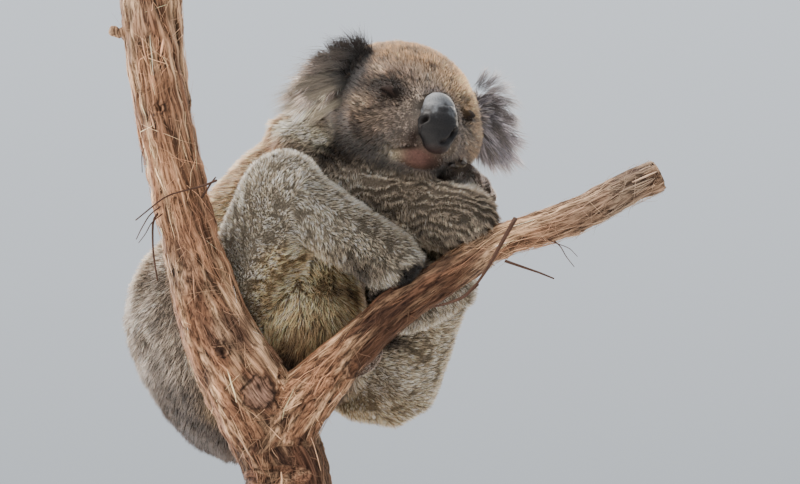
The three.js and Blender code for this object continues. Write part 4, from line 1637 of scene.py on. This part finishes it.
@dataclass
class Lid:
    """The closed lids of one eye: a low dome with the slit between them, in short fur."""

    head: HeadFrame
    name: str
    side: int  # -1 on the right and 1 on the left
    radii: Triple = (11.4, 8.2, 8.0)
    tilt: float = 14.0
    voxel: float = 0.9 * MM
    upper: str = "211814"
    lower: str = "2f2520"
    # Painted shade in the slit between the lids.
    seam: str = "0d0908"
    sunk: float = 3.0  # how far the dome stands back in its socket
    fur_size: tuple[float, ...] = (2.3 * MM, 0.36 * MM, 18, 2.2e6, 1.6 * MM, 0.0, 0.5, 0.4, 0.3)

    def from_slit(self, points: Array) -> Pair:
        """Gives each point's distance from the slit, and how far above it the point is, in mm."""
        own = self.head.own(points)
        flat = np.stack([own[:, 0] * self.side, own[:, 2]], axis=1)
        line = np.array(EYE_SLIT)
        height = flat[:, 1] - np.interp(flat[:, 0], line[::-1, 0], line[::-1, 1])
        away = off_line(flat, line)
        return np.where(own[:, 1] < -50, away, 20.0), height

    def build(self) -> Piece:
        """Models the dome with the upper lid a little over the lower."""
        place = self.head.LID * (self.side, 1, 1) + (0, self.sunk * MM, 0)
        centre = self.head.world(place[None])[0]
        axes = tilted(self.head.axes, 1, -self.side * self.tilt)
        self.skin = Surface.over([ellipsoid(centre, np.array(self.radii) * MM, axes)], self.voxel)
        self.skin.relax(4)
        away, above = self.from_slit(self.skin.points)
        height = 1.2 * rise(0, 2.0, above) * band(away, 5) - 2.0 * band(away, 1.1)
        self.skin.raise_by(height)
        coat = Paint(self, "lower", away).lay("upper", rise(-1.5, 1.5, above))
        # Painted shade along the slit.
        self.tints = coat.lay("seam", band(away, 1.5)).tints
        return self.skin.piece(self.name, LID_FINISH.material(), self.tints)

    def growth(self, body: Body, rng: Chance) -> Growth:
        """Spreads short fur over the lid and away from its slit.

        Args:
            body: The body, whose unwrap the fur shares.
            rng: The seeded source of chance.

        Returns:
            What the coat needs to know at each root.
        """
        away, _ = self.from_slit(self.skin.points)
        density = self.fur_size[3] * rise(0.7, 2.0, away)
        places = self.skin.scatter(density, rng)
        points = places.read(self.skin.points)
        normals = unit(places.read(self.skin.normals()))
        shares = np.tile(np.eye(len(Region))[Region.HEAD.column], (len(points), 1))
        flow = np.tile(unit(np.array([self.side * 1.0, 0.4, 0.35])) @ self.head.axes, (len(points), 1))
        flow = unit(flattened(flow, normals))
        sizes = np.tile(np.array(self.fur_size), (len(points), 1))
        tints = places.read(self.tints) * 0.8
        return Growth(points, normals, shares, flow, sizes, tints, body.unwrapped(points))


@dataclass(frozen=True)
class Wisp:
    """Loose fringe hairs side by side along one bend, in the head's mm."""

    root: Triple
    bend: Triple
    tip: Triple
    spread: float
    count: int
    colour: str
    width: float = 0.42

    def hairs(self, body: Body, rng: Chance) -> Hairs:
        """Shapes the hairs, a little apart at the root and further at the tip.

        Args:
            body: The body that they hang from.
            rng: The seeded source of chance.

        Returns:
            The hairs.
        """
        ends = []
        for place, share in ((self.root, 0.55), (self.bend, 0.8), (self.tip, 1.0)):
            apart = rng.normal(0, self.spread * share, (self.count, 3)) * (1, 0.5, 1)
            ends.append(body.head.world((np.array(place) + apart) * MM))
        tone = tint(self.colour) * np.exp(rng.normal(0, 0.18, (self.count, 1)))
        widths = self.width * MM * (0.7 + 0.6 * rng.random(self.count))
        across = np.tile(body.head.axes[1], (self.count, 1))
        tints = np.stack([tone * 0.45, tone * 0.9, tone * 1.15], axis=1)
        return Hairs(*ends, widths, across, tints, body.unwrapped(ends[0]), np.full(self.count, 2))


WISPS = (
    Wisp((-70, -22, 16), (-98, -25, 0), (-134, -15, -31), 3.6, 180, "b0a392"),
    Wisp((-72, -22, 20), (-104, -23, 6), (-137, -15, -20), 5.0, 160, "988c7f", 0.4),
    Wisp((-78, -20, 22), (-106, -21, 12), (-131, -19, -9), 6.0, 120, "a39889", 0.38),
    Wisp((-76, -20, 32), (-103, -23, 28), (-123, -19, 10), 6.5, 120, "8c8178", 0.4),
    Wisp((-70, -20, 44), (-95, -24, 40), (-112, -20, 26), 6.5, 90, "6e645d", 0.4),
    Wisp((-68, -20, 46), (-82, -22, 54), (-95, -20, 48), 6.0, 80, "463d39"),
    Wisp((-62, -20, 46), (-71, -22, 58), (-80, -20, 61), 5.5, 90, "2e2725"),
    Wisp((-58, -20, 46), (-63, -22, 58), (-68, -20, 66), 5.0, 90, "2b2422"),
    Wisp((-52, -20, 46), (-55, -22, 55), (-58, -20, 61), 4.0, 80, "332b28"),
    Wisp((-68, -22, 4), (-84, -26, -12), (-104, -22, -32), 3.6, 120, "b3a793", 0.45),
    Wisp((80, -18, 24), (102, -20, 14), (120, -12, -2), 6.5, 90, "8f8684"),
    Wisp((78, -18, 38), (101, -20, 36), (120, -12, 22), 6.5, 90, "837a79"),
    Wisp((76, -18, 44), (100, -18, 50), (116, -10, 46), 6.0, 90, "8f8684"),
    Wisp((74, -18, 10), (90, -20, -4), (104, -14, -20), 6.0, 80, "8a807d"),
    Wisp((72, -16, 48), (92, -16, 60), (107, -8, 64), 5.0, 80, "a39a99"),
    Wisp((70, -14, 50), (82, -14, 64), (92, -8, 73), 4.5, 70, "8d8382"),
    Wisp((66, -14, 50), (71, -14, 64), (76, -8, 74), 4.0, 60, "7c7271"),
)


@dataclass
class Claw:
    """A curved horn claw along its solid."""

    node: str
    radius: float = 2.6 * MM
    rings: int = 10

    def build(self, material: Material) -> Piece:
        """Bends a taper from the solid's wide end to its tip.

        Args:
            material: The horn.

        Returns:
            The piece.
        """
        points, _ = node_arrays(self.node)
        centre = points.mean(axis=0)
        axis = np.linalg.svd(points - centre)[2][0]
        along = (points - centre) @ axis
        spread = [np.linalg.norm(np.std(points[np.sign(along) == s], axis=0)) for s in (-1, 1)]
        if spread[0] < spread[1]:
            along = -along
        order = np.argsort(along)
        third = max(3, len(order) // 3)
        root, middle = points[order[:third]].mean(axis=0), points[order[third:-third]].mean(axis=0)
        tip = points[order[-1]]
        share = np.linspace(0, 1, self.rings)[:, None]
        path = bent(root, 2 * middle - (root + tip) / 2, tip, share)
        radii = self.radius * (1 - share[:, 0] ** 1.6) + 0.25 * MM
        return mesh_piece(f"{self.node}_horn", *tube(path, radii, 12, 0.8), material)


# ---- the perch
@dataclass
class Limb:
    """One limb of the fork: the line through its middle and its radius along it, in mm."""

    line: Line
    radii: tuple[float, ...]
    swelling: float
    seed: float
    back: Triple = (0.0, 1.0, 0.0)  # the side where angles start
    steps: int = 200

    def __post_init__(self) -> None:
        """Works out evenly spaced centres, ways and radii."""
        line = np.array(self.line) / 1000
        knots = np.array([line[0], *line, line[-1]])
        share = np.linspace(0, 1, 12, endpoint=False)[:, None]
        stretches = []
        for a, b, c, d in zip(knots[:-3], knots[1:-2], knots[2:-1], knots[3:]):
            bend = (2 * a - 5 * b + 4 * c - d) * share**2 + (3 * b - a - 3 * c + d) * share**3
            stretches.append(b + ((c - a) * share + bend) / 2)
        rough = np.concatenate([*stretches, knots[-1:]])
        run = np.concatenate([[0], np.cumsum(norm(np.diff(rough, axis=0)))])
        self.length = run[-1]
        self.shares = np.linspace(0, 1, self.steps)
        self.centres = rows_at(np.linspace(0, run[-1], self.steps), run, rough)
        self.ways = unit(np.gradient(self.centres, axis=0))
        radii = np.array(self.radii) / 1000
        self.reach = np.interp(self.shares, np.linspace(0, 1, len(radii)), radii)

    def radius(self, share: Array, angle: Array) -> Array:
        """Gives the limb's radius with its slow swellings."""
        wave = np.sin(share * 17 + self.seed + 2 * np.sin(angle + self.seed))
        return np.interp(share, self.shares, self.reach) * (1 + self.swelling * wave)

    def spots(self, share: Array, angle: Array, rise_by: Array) -> Pair:
        """Finds places on or over the bark.

        Args:
            share: How far along the limb.
            angle: How far round it, in radians from the back over the top.
            rise_by: How far off the bark.

        Returns:
            The places, and the way out from the limb at each.
        """
        centre = rows_at(share, self.shares, self.centres)
        way = unit(rows_at(share, self.shares, self.ways))
        back = np.array(self.back)
        behind = unit(back - way * (way @ back)[:, None])
        out = between(behind, np.cross(behind, way), angle)
        return centre + out * (self.radius(share, angle) + rise_by)[:, None], out

    def log(self, rows: int = 120, around: int = 40) -> Solid:
        """Skins the limb as a closed log."""
        share, angle = np.meshgrid(np.linspace(0, 1, rows), turns(around), indexing="ij")
        places, _ = self.spots(share.ravel(), angle.ravel(), np.zeros(share.size))
        return capped(places.reshape(rows, around, 3))


@dataclass
class Knot:
    """A healed knot in mm: a ring of swollen bark round a hollow, which is painted dark as its shade."""

    place: Triple
    radius: float
    depth: float
    rim: float  # how pale its rim is

    def away(self, points: Array) -> Array:
        """Gives each point's uneven distance from the middle, in radii."""
        away = norm(points - np.array(self.place) / 1000) / (self.radius / 1000)
        uneven = 0.9 * noise(points, 6, 56) + 0.5 * noise(points, 2.5, 57) - 0.7
        return away * (1 + 0.5 * uneven)

    def hollow(self, points: Array) -> Array:
        """Gives how far each point lies in the hollow, a little above the middle, where painted shade goes.
        """
        radius = self.radius / 1000
        off = points - np.array(self.place) / 1000 - (0, 0, 0.3 * radius)
        return band(norm(off) / radius, 0.42, 4)


def left_limb() -> Limb:
    """Gives the stem and the limb that leans back over it."""
    line = ((2, -50, 150), (-2, -52, 205), (-10, -55, 262), (-25, -64, 302), (-48, -76, 343))
    line += ((-66, -85, 376), (-84, -98, 422), (-108, -124, 506), (-123, -150, 592), (-134, -178, 686))
    return Limb(line, (38, 37, 38, 39, 35, 30, 26, 24.5, 24.5, 26, 28), 0.04, 1)


def right_limb() -> Limb:
    """Gives the thin limb that runs out under the shin and the foot."""
    line = ((-24, -64, 300), (4, -74, 334), (38, -83, 368), (84, -90, 410), (143, -94, 450))
    line += ((181, -92, 475), (216, -90, 487), (255, -88, 502), (292, -88, 522), (328, -88, 539))
    return Limb(line, (34, 27, 20, 17, 16.5, 16, 14.5, 15.5, 16, 15), 0.05, 2)


def rear_limb() -> Limb:
    """Gives the short limb under the rump."""
    line = ((-14, -58, 262), (-22, -8, 272), (-28, 48, 292), (-34, 112, 316))
    return Limb(line, (30, 27, 25, 24), 0.04, 4, back=(1.0, 0.0, 0.0))


@dataclass(frozen=True)
class Strips:
    """One kind of strip or loose fibre on the bark, in mm."""

    count: int
    width: float
    length: float
    lift: float  # of the free end
    curl: float


@dataclass
class Perch:
    """The cut fork, clad in stringy bark."""

    voxel: float = 1.7 * MM
    left: Limb = field(default_factory=left_limb)
    right: Limb = field(default_factory=right_limb)
    rear: Limb = field(default_factory=rear_limb)
    knots: tuple[Knot, ...] = (
        Knot((-34, -109, 333), 12.5, 3.5, 0.75),
        Knot((-66, -117, 369), 6, 4.0, 0.1),
        Knot((48, -100, 355), 7, 3.5, 0.0),
        Knot((-123, -172, 575), 5, 3.0, 0.0),
    )
    # Broken twigs: root, tip and radius at the root, in mm.
    stubs: tuple[tuple[Triple, Triple, float], ...] = (
        ((-126, -166, 636), (-168, -174, 649), 6.5),
        ((10, -80, 345), (30, -106, 342), 8.5),
        ((-30, -80, 330), (-34, -102, 332), 10.5),
        ((-74, -95, 395), (-72, -124, 398), 7.5),
    )
    # Thin twigs caught on the bark: their bends and their radius, in mm.
    twigs: tuple[tuple[Line, float], ...] = (
        (((193, -128, 487), (178, -134, 459), (168, -131, 441), (157, -124, 426)), 2.2),
        (((159, -124, 428), (146, -125, 415), (130, -121, 410), (116, -116, 408)), 1.7),
        (((184, -112, 452), (200, -113, 446), (215, -112, 441), (228, -110, 436)), 1.4),
        (((-87, -138, 503), (-82, -142, 509), (-78, -144, 515), (-74, -143, 521)), 1.2),
        (((-116, -136, 500), (-130, -136, 484), (-129, -133, 455), (-125, -126, 430)), 1.3),
        (((-117, -140, 499), (-132, -141, 487), (-139, -142, 473), (-143, -141, 464)), 0.7),
        (((-114, -138, 494), (-130, -141, 480), (-135, -141, 469), (-141, -140, 461)), 0.6),
        (((-73, -143, 518), (-85, -148, 511), (-116, -154, 501), (-143, -150, 479)), 1.1),
        (((-118, -150, 560), (-134, -150, 555), (-140, -149, 541), (-139, -147, 524)), 0.7),
        (((226, -92, 480), (236, -94, 470), (240, -98, 460), (247, -102, 449)), 0.6),
        (((222, -94, 478), (230, -100, 472), (243, -104, 466), (250, -104, 458)), 0.5),
    )
    kinds: tuple[Strips, ...] = (
        Strips(260, 1.6, 30, 1.0, 0.15),
        Strips(2700, 0.42, 26, 1.0, 0.22),
        Strips(520, 0.3, 34, 12.0, 1.2),
        Strips(460, 0.42, 20, 5.0, 2.4),
    )
    red: str = "a2795d"
    tan: str = "d6b18e"
    grey: str = "8d7a69"
    # Dark brown: painted shade on the limbs, and the stem's darkening towards the bottom.
    deep: str = "352016"
    dark: str = "3d2a21"
    stain: str = "5a3a2e"
    rim: str = "a08070"
    wood: str = "c9ab86"
    ring: str = "93704e"

    def limbs(self) -> tuple[Limb, Limb, Limb]:
        """Gives the three limbs."""
        return self.left, self.right, self.rear

    def cut_ends(self) -> tuple[tuple[Limb, int], ...]:
        """Gives the limbs' sawn ends."""
        return (self.left, 0), (self.left, -1), (self.right, -1), (self.rear, -1)

    def build(self, finish: BarkFinish) -> Piece:
        """Joins the limbs and roughens their bark.

        Args:
            finish: The bark.

        Returns:
            The piece, whose corners hold their place in the grain.
        """
        parts = [limb.log() for limb in self.limbs()]
        share = np.linspace(0, 1, 8)
        for *ends, radius in self.stubs:
            root, tip = np.array(ends) / 1000
            parts.append(tube(root + np.outer(share, tip - root), radius / 1000 * (1 - 0.45 * share), 14))
        skin = Surface.over(parts, self.voxel)
        skin.relax(3)
        grain, way = self.grain(skin.points)
        height, split = self.relief(grain, skin.points)
        ends = self.end_faces(skin.points, skin.normals(), way)
        height *= 1 - ends
        skin.raise_by(height)
        tints = self.tints(grain, split, height, skin.points, ends)
        piece = skin.piece("bark", finish.material(), tints)
        own = piece.data.attributes.new("grain", "FLOAT_VECTOR", "POINT")
        own.data.foreach_set("vector", grain.astype(np.float32).ravel())
        return piece

    def grain(self, points: Array) -> Pair:
        """Gives each point's place in the grain, squeezed along the limb, and the limb's way.

        Args:
            points: Places on or near the bark.

        Returns:
            The places, and a direction for each.
        """
        centres = np.concatenate([limb.centres for limb in self.limbs()])
        ways = np.concatenate([limb.ways for limb in self.limbs()])
        runs = np.concatenate([limb.shares * limb.length for limb in self.limbs()])
        nearest = nearest_of(centres, points)
        way = ways[nearest]
        off = points - centres[nearest]
        along = (off * way).sum(axis=1)
        run = (runs[nearest] + along) * 0.15
        return off - way * along[:, None] + np.outer(run, [0.6, 0.5, 0.62]), way

    def relief(self, grain: Array, points: Array) -> Pair:
        """Gives the bark's height in mm, and how deeply it is split.

        Args:
            grain: Each point's place in the grain.
            points: The points.

        Returns:
            The heights, and up to 1 in a split.
        """
        wander = grain + 4 * MM * noise(points, 22, 51)[:, None]
        plates, lumps = noise(wander, 12, 52) - 0.5, noise(points, 13, 58) - 0.5
        split = creased(wander, 6, 53) ** 6
        cords, fibres = creased(wander, 2.8, 54), noise(wander, 1.7, 55)
        height = 2.6 * plates + 4.2 * lumps - 2.4 * split + 0.9 * cords + 1.1 * fibres - 0.8
        for knot in self.knots:
            away = knot.away(points)
            height += 2.8 * band(away - 1.05, 0.3) - knot.depth * band(away, 0.66)
        return height, split

    def end_faces(self, points: Array, normals: Array, ways: Array) -> Array:
        """Gives 1 on the sawn ends and 0 elsewhere."""
        ends = np.zeros(len(points))
        for limb, end in self.cut_ends():
            near = norm(points - limb.centres[end]) < 1.15 * limb.reach[end]
            ends = np.maximum(ends, near * rise(0.5, 0.8, np.abs((normals * ways).sum(axis=1))))
        return ends

    def tints(self, grain: Array, split: Array, height: Array, points: Array, ends: Array) -> Array:
        """Gives the bark's colours.

        Args:
            grain: Each point's place in the grain.
            split: How deeply the bark is split there.
            height: How high it stands, in mm.
            points: The points.
            ends: 1 where a point lies on a sawn end.

        Returns:
            A linear colour for each point.
        """
        coat = self.bark(grain, points)
        # Painted shade in the splits, and random darker streaks.
        coat.lay("dark", split * 0.9 + rise(0.6, 0.8, noise(grain, 2.6, 63)) * 0.35)
        # Painted light on raised bark and painted shade in low places.
        coat.vary(0.82 + 0.1 * np.clip(height, -3, 3))
        for knot in self.knots:
            away = knot.away(points)
            coat.lay("rim", band(away, 0.95, 6) * knot.rim)
            # Painted shade in the hollow.
            coat.lay("dark", knot.hollow(points), 0.35)
            coat.lay("dark", band(away - 1.12, 0.2), 0.4)
        return coat.tints * (1 - ends)[:, None] + self.sawn(points) * ends[:, None]

    def bark(self, grain: Array, points: Array) -> Paint:
        """Gives the bark's colours before its splits are darkened.

        Args:
            grain: Each point's place in the grain.
            points: The points.

        Returns:
            The colours, for more to be laid over them.
        """
        x, _, z = points.T
        coat = Paint(self, "red", points).lay("tan", rise(0.42, 0.72, noise(grain, 5, 61)))
        weathered = rise(0.18, 0.27, x) + 0.6 * rise(0.55, 0.75, noise(points, 45, 62))
        coat.lay("grey", weathered * 0.7)
        # Painted shade over the middle of the right limb.
        coat.lay("deep", rise(0.02, 0.06, x) * rise(0.19, 0.13, x) * 0.85)
        # Painted shade on the left side of the lower left limb.
        under = rise(-0.03, -0.07, x + 0.35 * (0.45 - z)) * rise(0.50, 0.42, z)
        # The stem darker towards the bottom.
        low = 0.7 * rise(0.34, 0.27, z) * (0.6 + 0.8 * noise(grain, 9, 66))
        coat.lay("deep", 0.1 * under + low)
        stains = rise(0.5, 0.72, noise(points * (1, 1, 0.7), 15, 67)) * rise(0.06, 0.0, x)
        return coat.lay("stain", 0.4 * stains)

    def sawn(self, points: Array) -> Array:
        """Gives the colour of sawn wood, with rings round the middle of the nearest end."""
        ends = [norm(points - limb.centres[end]) for limb, end in self.cut_ends()]
        away = np.min(ends, axis=0) + 1.6 * MM * (noise(points, 14, 64) - 0.5)
        rings = 0.5 + 0.5 * np.sin(2 * math.pi * away / (2.6 * MM))
        return Paint(self, "wood", points).lay("ring", rings**2).tints

    def loose_twigs(self, finish: TintedFinish) -> Piece:
        """Makes the thin twigs caught on the bark.

        Args:
            finish: Their finish.

        Returns:
            All of them as one piece.
        """
        twigs = []
        for line, radius in self.twigs:
            run = np.linspace(0, len(line) - 1, 14)
            path = rows_at(run, np.arange(len(line)), np.array(line) / 1000)
            path[1:-1] = (path[:-2] + 2 * path[1:-1] + path[2:]) / 4
            twigs.append(tube(path, radius * MM * np.linspace(1.0, 0.5, 14), 8))
        points, faces = joined(twigs)
        coat = Paint(self, "dark", points).vary(0.7 + 0.9 * noise(points, 3, 65))
        return mesh_piece("bark_twigs", points, faces, finish.material(), coat.tints)

    def strips(self, finish: TintedFinish) -> Piece:
        """Lays peeling strips and loose fibres over the bark.

        Args:
            finish: Their finish.

        Returns:
            All of them as one piece.
        """
        rng = np.random.default_rng(SEED + 1)
        lengths = np.array([limb.length for limb in self.limbs()])
        laid = []
        for kind in self.kinds:
            owner = rng.choice(3, kind.count, p=lengths / lengths.sum())
            for number, limb in enumerate(self.limbs()):
                laid.append(self.lay_strips(kind, limb, int((owner == number).sum()), rng))
        paths, widths, across, tints = (np.concatenate(arrays) for arrays in zip(*laid))
        clear = np.full(len(paths), True)
        for knot in self.knots:
            away = norm(paths - np.array(knot.place) / 1000).min(axis=1)
            clear &= away > 1.2 * knot.radius * MM
        rest = (values[clear] for values in (widths, across, tints))
        locks = Locks(paths[clear], *rest, np.zeros((clear.sum(), 2)), flatness=0.35)
        points, faces, colours, _ = locks.arrays()
        return mesh_piece("bark_strips", points, faces, finish.material(), colours)

    def lay_strips(self, kind: Strips, limb: Limb, count: int, rng: Chance) -> tuple[Array, ...]:
        """Lays strips of one kind over one limb.

        Args:
            kind: The kind of strip.
            limb: The limb.
            count: How many of them.
            rng: The seeded source of chance.

        Returns:
            Their paths, widths, ways across and colours, as Locks takes them.
        """
        steps = np.linspace(0, 1, 5)
        run = kind.length * MM * (0.4 + 1.1 * rng.random(count)) / limb.length
        heading = np.where(rng.random(count) < 0.5, 1, -1)
        share = rng.random(count)[:, None] + (run * heading)[:, None] * steps
        turn = rng.uniform(0, 2 * math.pi, count)[:, None]
        turn = turn + rng.normal(0, kind.curl, count)[:, None] * steps
        turn = turn + rng.normal(0, kind.curl * 0.06, (count, 5))
        off = kind.lift * MM * rng.random(count)[:, None] ** 2 * steps**2 + 0.6 * MM
        share = np.clip(share, 0.004, 0.996)
        spots, out = limb.spots(share.ravel(), turn.ravel(), off.ravel())
        path = spots.reshape(count, 5, 3)
        way = unit(path[:, -1] - path[:, 0] + 1e-9)
        across = unit(np.cross(way, out.reshape(count, 5, 3)[:, 0]))
        wide = kind.width * MM * (0.4 + 1.2 * rng.random(count))[:, None]
        shade = self.bark(self.grain(path[:, 2])[0], path[:, 2])
        shade.vary(np.exp(rng.normal(0.2, 0.45, count)))
        tints = np.repeat(shade.tints[:, None], 5, axis=1)
        return path, wide * (0.5, 1.0, 1.0, 0.7), across, tints


# ---- the stand
@dataclass
class Stand:
    """A waxed oak slab and two brushed steel rods."""

    corner: float = 30 * MM
    edge: float = 5 * MM
    collar: float = 15 * MM
    sharp: float = math.radians(32)  # what angle between faces stays a crisp edge

    def base(self, material: Material) -> Piece:
        """Shapes the slab with rounded corners and a soft upper edge.

        Args:
            material: The oak.

        Returns:
            The piece.
        """
        low, high = (np.array(corner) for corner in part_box("stand_base"))
        half, centre, height = (high - low) / 2, (high + low) / 2, high[2]
        quarter = np.linspace(0, math.pi / 2, 10)
        angles = np.concatenate([quarter + k * math.pi / 2 for k in range(4)])
        signs = np.repeat([(1, 1), (-1, 1), (-1, -1), (1, -1)], 10, axis=0)
        circle = np.stack([np.cos(angles), np.sin(angles)], axis=1)
        edges = [(1.5 * MM, 0.0), (0.0, 1.5 * MM)]
        for a in np.linspace(0, math.pi / 2, 7):
            edges.append((self.edge * (1 - math.cos(a)), height - self.edge * (1 - math.sin(a))))
        edges.append((self.edge + 25 * MM, height))
        rings = []
        for inset, z in edges:
            outline = signs * (half[:2] - self.corner) + circle * max(self.corner - inset, 1 * MM)
            rings.append(np.column_stack([outline + centre[:2], np.full(40, z)]))
        piece = mesh_piece("stand_slab", *capped(np.array(rings)), material)
        piece.data.set_sharp_from_angle(angle=self.sharp)
        return piece

    def rod(self, node: str, material: Material) -> Piece:
        """Turns a rod with a low collar where it leaves the slab.

        Args:
            node: The rod's node in the frame.
            material: The steel.

        Returns:
            The piece.
        """
        low, high = (np.array(corner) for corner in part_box(node))
        centre = (low + high) / 2 * (1, 1, 0)
        radius = (high - low)[0] / 2
        z = low[2]
        profile = [(self.collar, z), (self.collar, z + 3 * MM), (self.collar - 1 * MM, z + 4 * MM)]
        profile += [(radius + 2 * MM, z + 5 * MM), (radius, z + 8 * MM), (radius, high[2])]
        piece = mesh_piece(f"{node}_turned", *lathe(profile, centre, 48), material)
        piece.data.set_sharp_from_angle(angle=self.sharp)
        return piece


# ---- the camera and the studio
@dataclass
class Studio:
    """The floor, the lights and the camera."""

    eye: Triple = (0.090, -1.752, 0.030)
    aim: Triple = (0.090, -0.110, 0.470)
    lens: float = 85.0
    floor_size: float = 16.0
    sky: str = "dfe6ee"
    lit: Triple = (0.0, 0.0, 0.45)  # where the lights face
    # Each light: name, place, size, power and colour.
    lights: tuple[tuple[str, Triple, float, float, str], ...] = (
        ("key", (-1.3, -1.3, 1.9), 1.0, 66, "fff2e2"),
        ("top", (-0.2, 0.0, 2.1), 1.2, 62, "fff8f0"),
        ("back", (0.6, 1.5, 1.5), 1.3, 105, "fff0dc"),
        ("low_back", (-1.5, 1.0, 0.9), 0.9, 70, "f4f8ff"),
    )
    # The sky's strength grows between these heights, from this value to that.
    brightness: tuple[float, ...] = (-0.3, 0.5, 0.4, 1.35)

    def build(self) -> None:
        """Sets up the studio."""
        self.camera()
        for name, place, size, power, colour in self.lights:
            lamp = bpy.data.lights.new(name, "AREA")
            lamp.size = size
            lamp.energy = power
            lamp.color = tuple(tint(colour))
            self.stood(name, lamp, place, self.lit)
        self.floor()
        self.world()

    def stood(self, name: str, data: bpy.types.ID, place: Triple, aim: Triple) -> Piece:
        """Stands a camera or a lamp at a place and faces it to its aim."""
        thing = bpy.data.objects.new(name, data)
        thing.location = place
        thing.rotation_euler = (Vector(aim) - Vector(place)).to_track_quat("-Z", "Y").to_euler()
        bpy.context.scene.collection.objects.link(thing)
        return thing

    def camera(self) -> None:
        """Places the camera, which looks a little up."""
        data = bpy.data.cameras.new("camera")
        data.lens = self.lens
        data.sensor_width = 36.0
        bpy.context.scene.camera = self.stood("camera", data, self.eye, self.aim)

    def world(self) -> None:
        """Makes a sky that is brighter above."""
        world = bpy.data.worlds.new("studio")
        world.use_nodes = True
        tree = world.node_tree
        place = add_node(tree, "TexCoord").outputs["Generated"]
        height = add_node(tree, "SeparateXYZ", Vector=place).outputs["Z"]
        low, high, dim, bright = self.brightness
        reach = {"From_Min": low, "From_Max": high, "To_Min": dim, "To_Max": bright}
        ramp = add_node(tree, "MapRange", Value=height, **reach)
        background = tree.nodes["Background"]
        background.inputs["Color"].default_value = (*tint(self.sky), 1)
        tree.links.new(ramp.outputs["Result"], background.inputs["Strength"])
        bpy.context.scene.world = world

    def floor(self) -> None:
        """Lays a plain floor."""
        corners = np.array([(-1, -1, 0), (1, -1, 0), (1, 1, 0), (-1, 1, 0)]) * self.floor_size / 2
        material = FloorFinish("floor", "dcdcda").material()
        mesh_piece("floor", corners, np.array([[0, 1, 2, 3]]), material)


COAT_FINISH = TintedFinish("coat", 0.72, 0.22, 900.0, 0.82, 0.1, sheen=0.15)
SKIN_FINISH = TintedFinish("under_wool", 0.85, 0.1, 500.0, 0.7, 0.6)
LID_FINISH = TintedFinish("lid_skin", 0.8, 0.12, 900.0, 0.75, 0.5)
BARK_FINISH = BarkFinish("stringy_bark")
STRIP_FINISH = TintedFinish("bark_fibre", 0.8, 0.2, 700.0, 0.7, 0.4)


def main() -> None:
    """Builds everything in order."""
    logging.basicConfig(level=logging.INFO, format="%(name)s: %(message)s")
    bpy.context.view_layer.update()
    Studio().build()
    head = HeadFrame.found()
    joints = Joints()
    markings = Markings(head, joints)
    body = Body(head, joints, markings)
    body.build()
    ride("brown_fur", [body.dress(SKIN_FINISH)], *body.flesh)
    coat = Coat(COAT_FINISH.material(), markings.palette.ear_pale)
    share = 1.0
    ride("brown_fur", coat.grow(body.growth(share, np.random.default_rng(SEED + 2))))
    rng = np.random.default_rng(SEED + 3)
    wisps = [wisp.hairs(body, rng) for wisp in WISPS]
    ride("brown_fur", coat.pieces("ear_wisps", Hairs.together(wisps)))
    ride("nose_skin", [Nose(head).build()], "nose")
    for lid in (Lid(head, "right_lid", -1), Lid(head, "left_lid", 1)):
        ride("brown_fur", [lid.build()], lid.name.replace("lid", "eyelids"))
        ride("brown_fur", coat.pieces(lid.name, coat.hairs(lid.growth(body, rng), rng)))
    horn = HornFinish("claw_horn", "161212", "3c332e").material()
    for node in sorted(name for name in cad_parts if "_claw_" in name):
        ride("claw_horn", [Claw(node).build(horn)], node)
    perch = Perch()
    ride("bark", [perch.build(BARK_FINISH)], "perch")
    ride("bark", [perch.strips(STRIP_FINISH), perch.loose_twigs(STRIP_FINISH)])
    stand = Stand()
    oak = OakFinish("waxed_oak", "6b4a2c", "a57c50").material()
    ride("stand_oak", [stand.base(oak)], "stand_base")
    steel = SteelFinish("brushed_steel", "8b8b8e", "b4b4b6").material()
    for node in ("stand_rod_1", "stand_rod_2"):
        ride("stand_steel", [stand.rod(node, steel)], node)


if __name__ == "__main__":
    main()
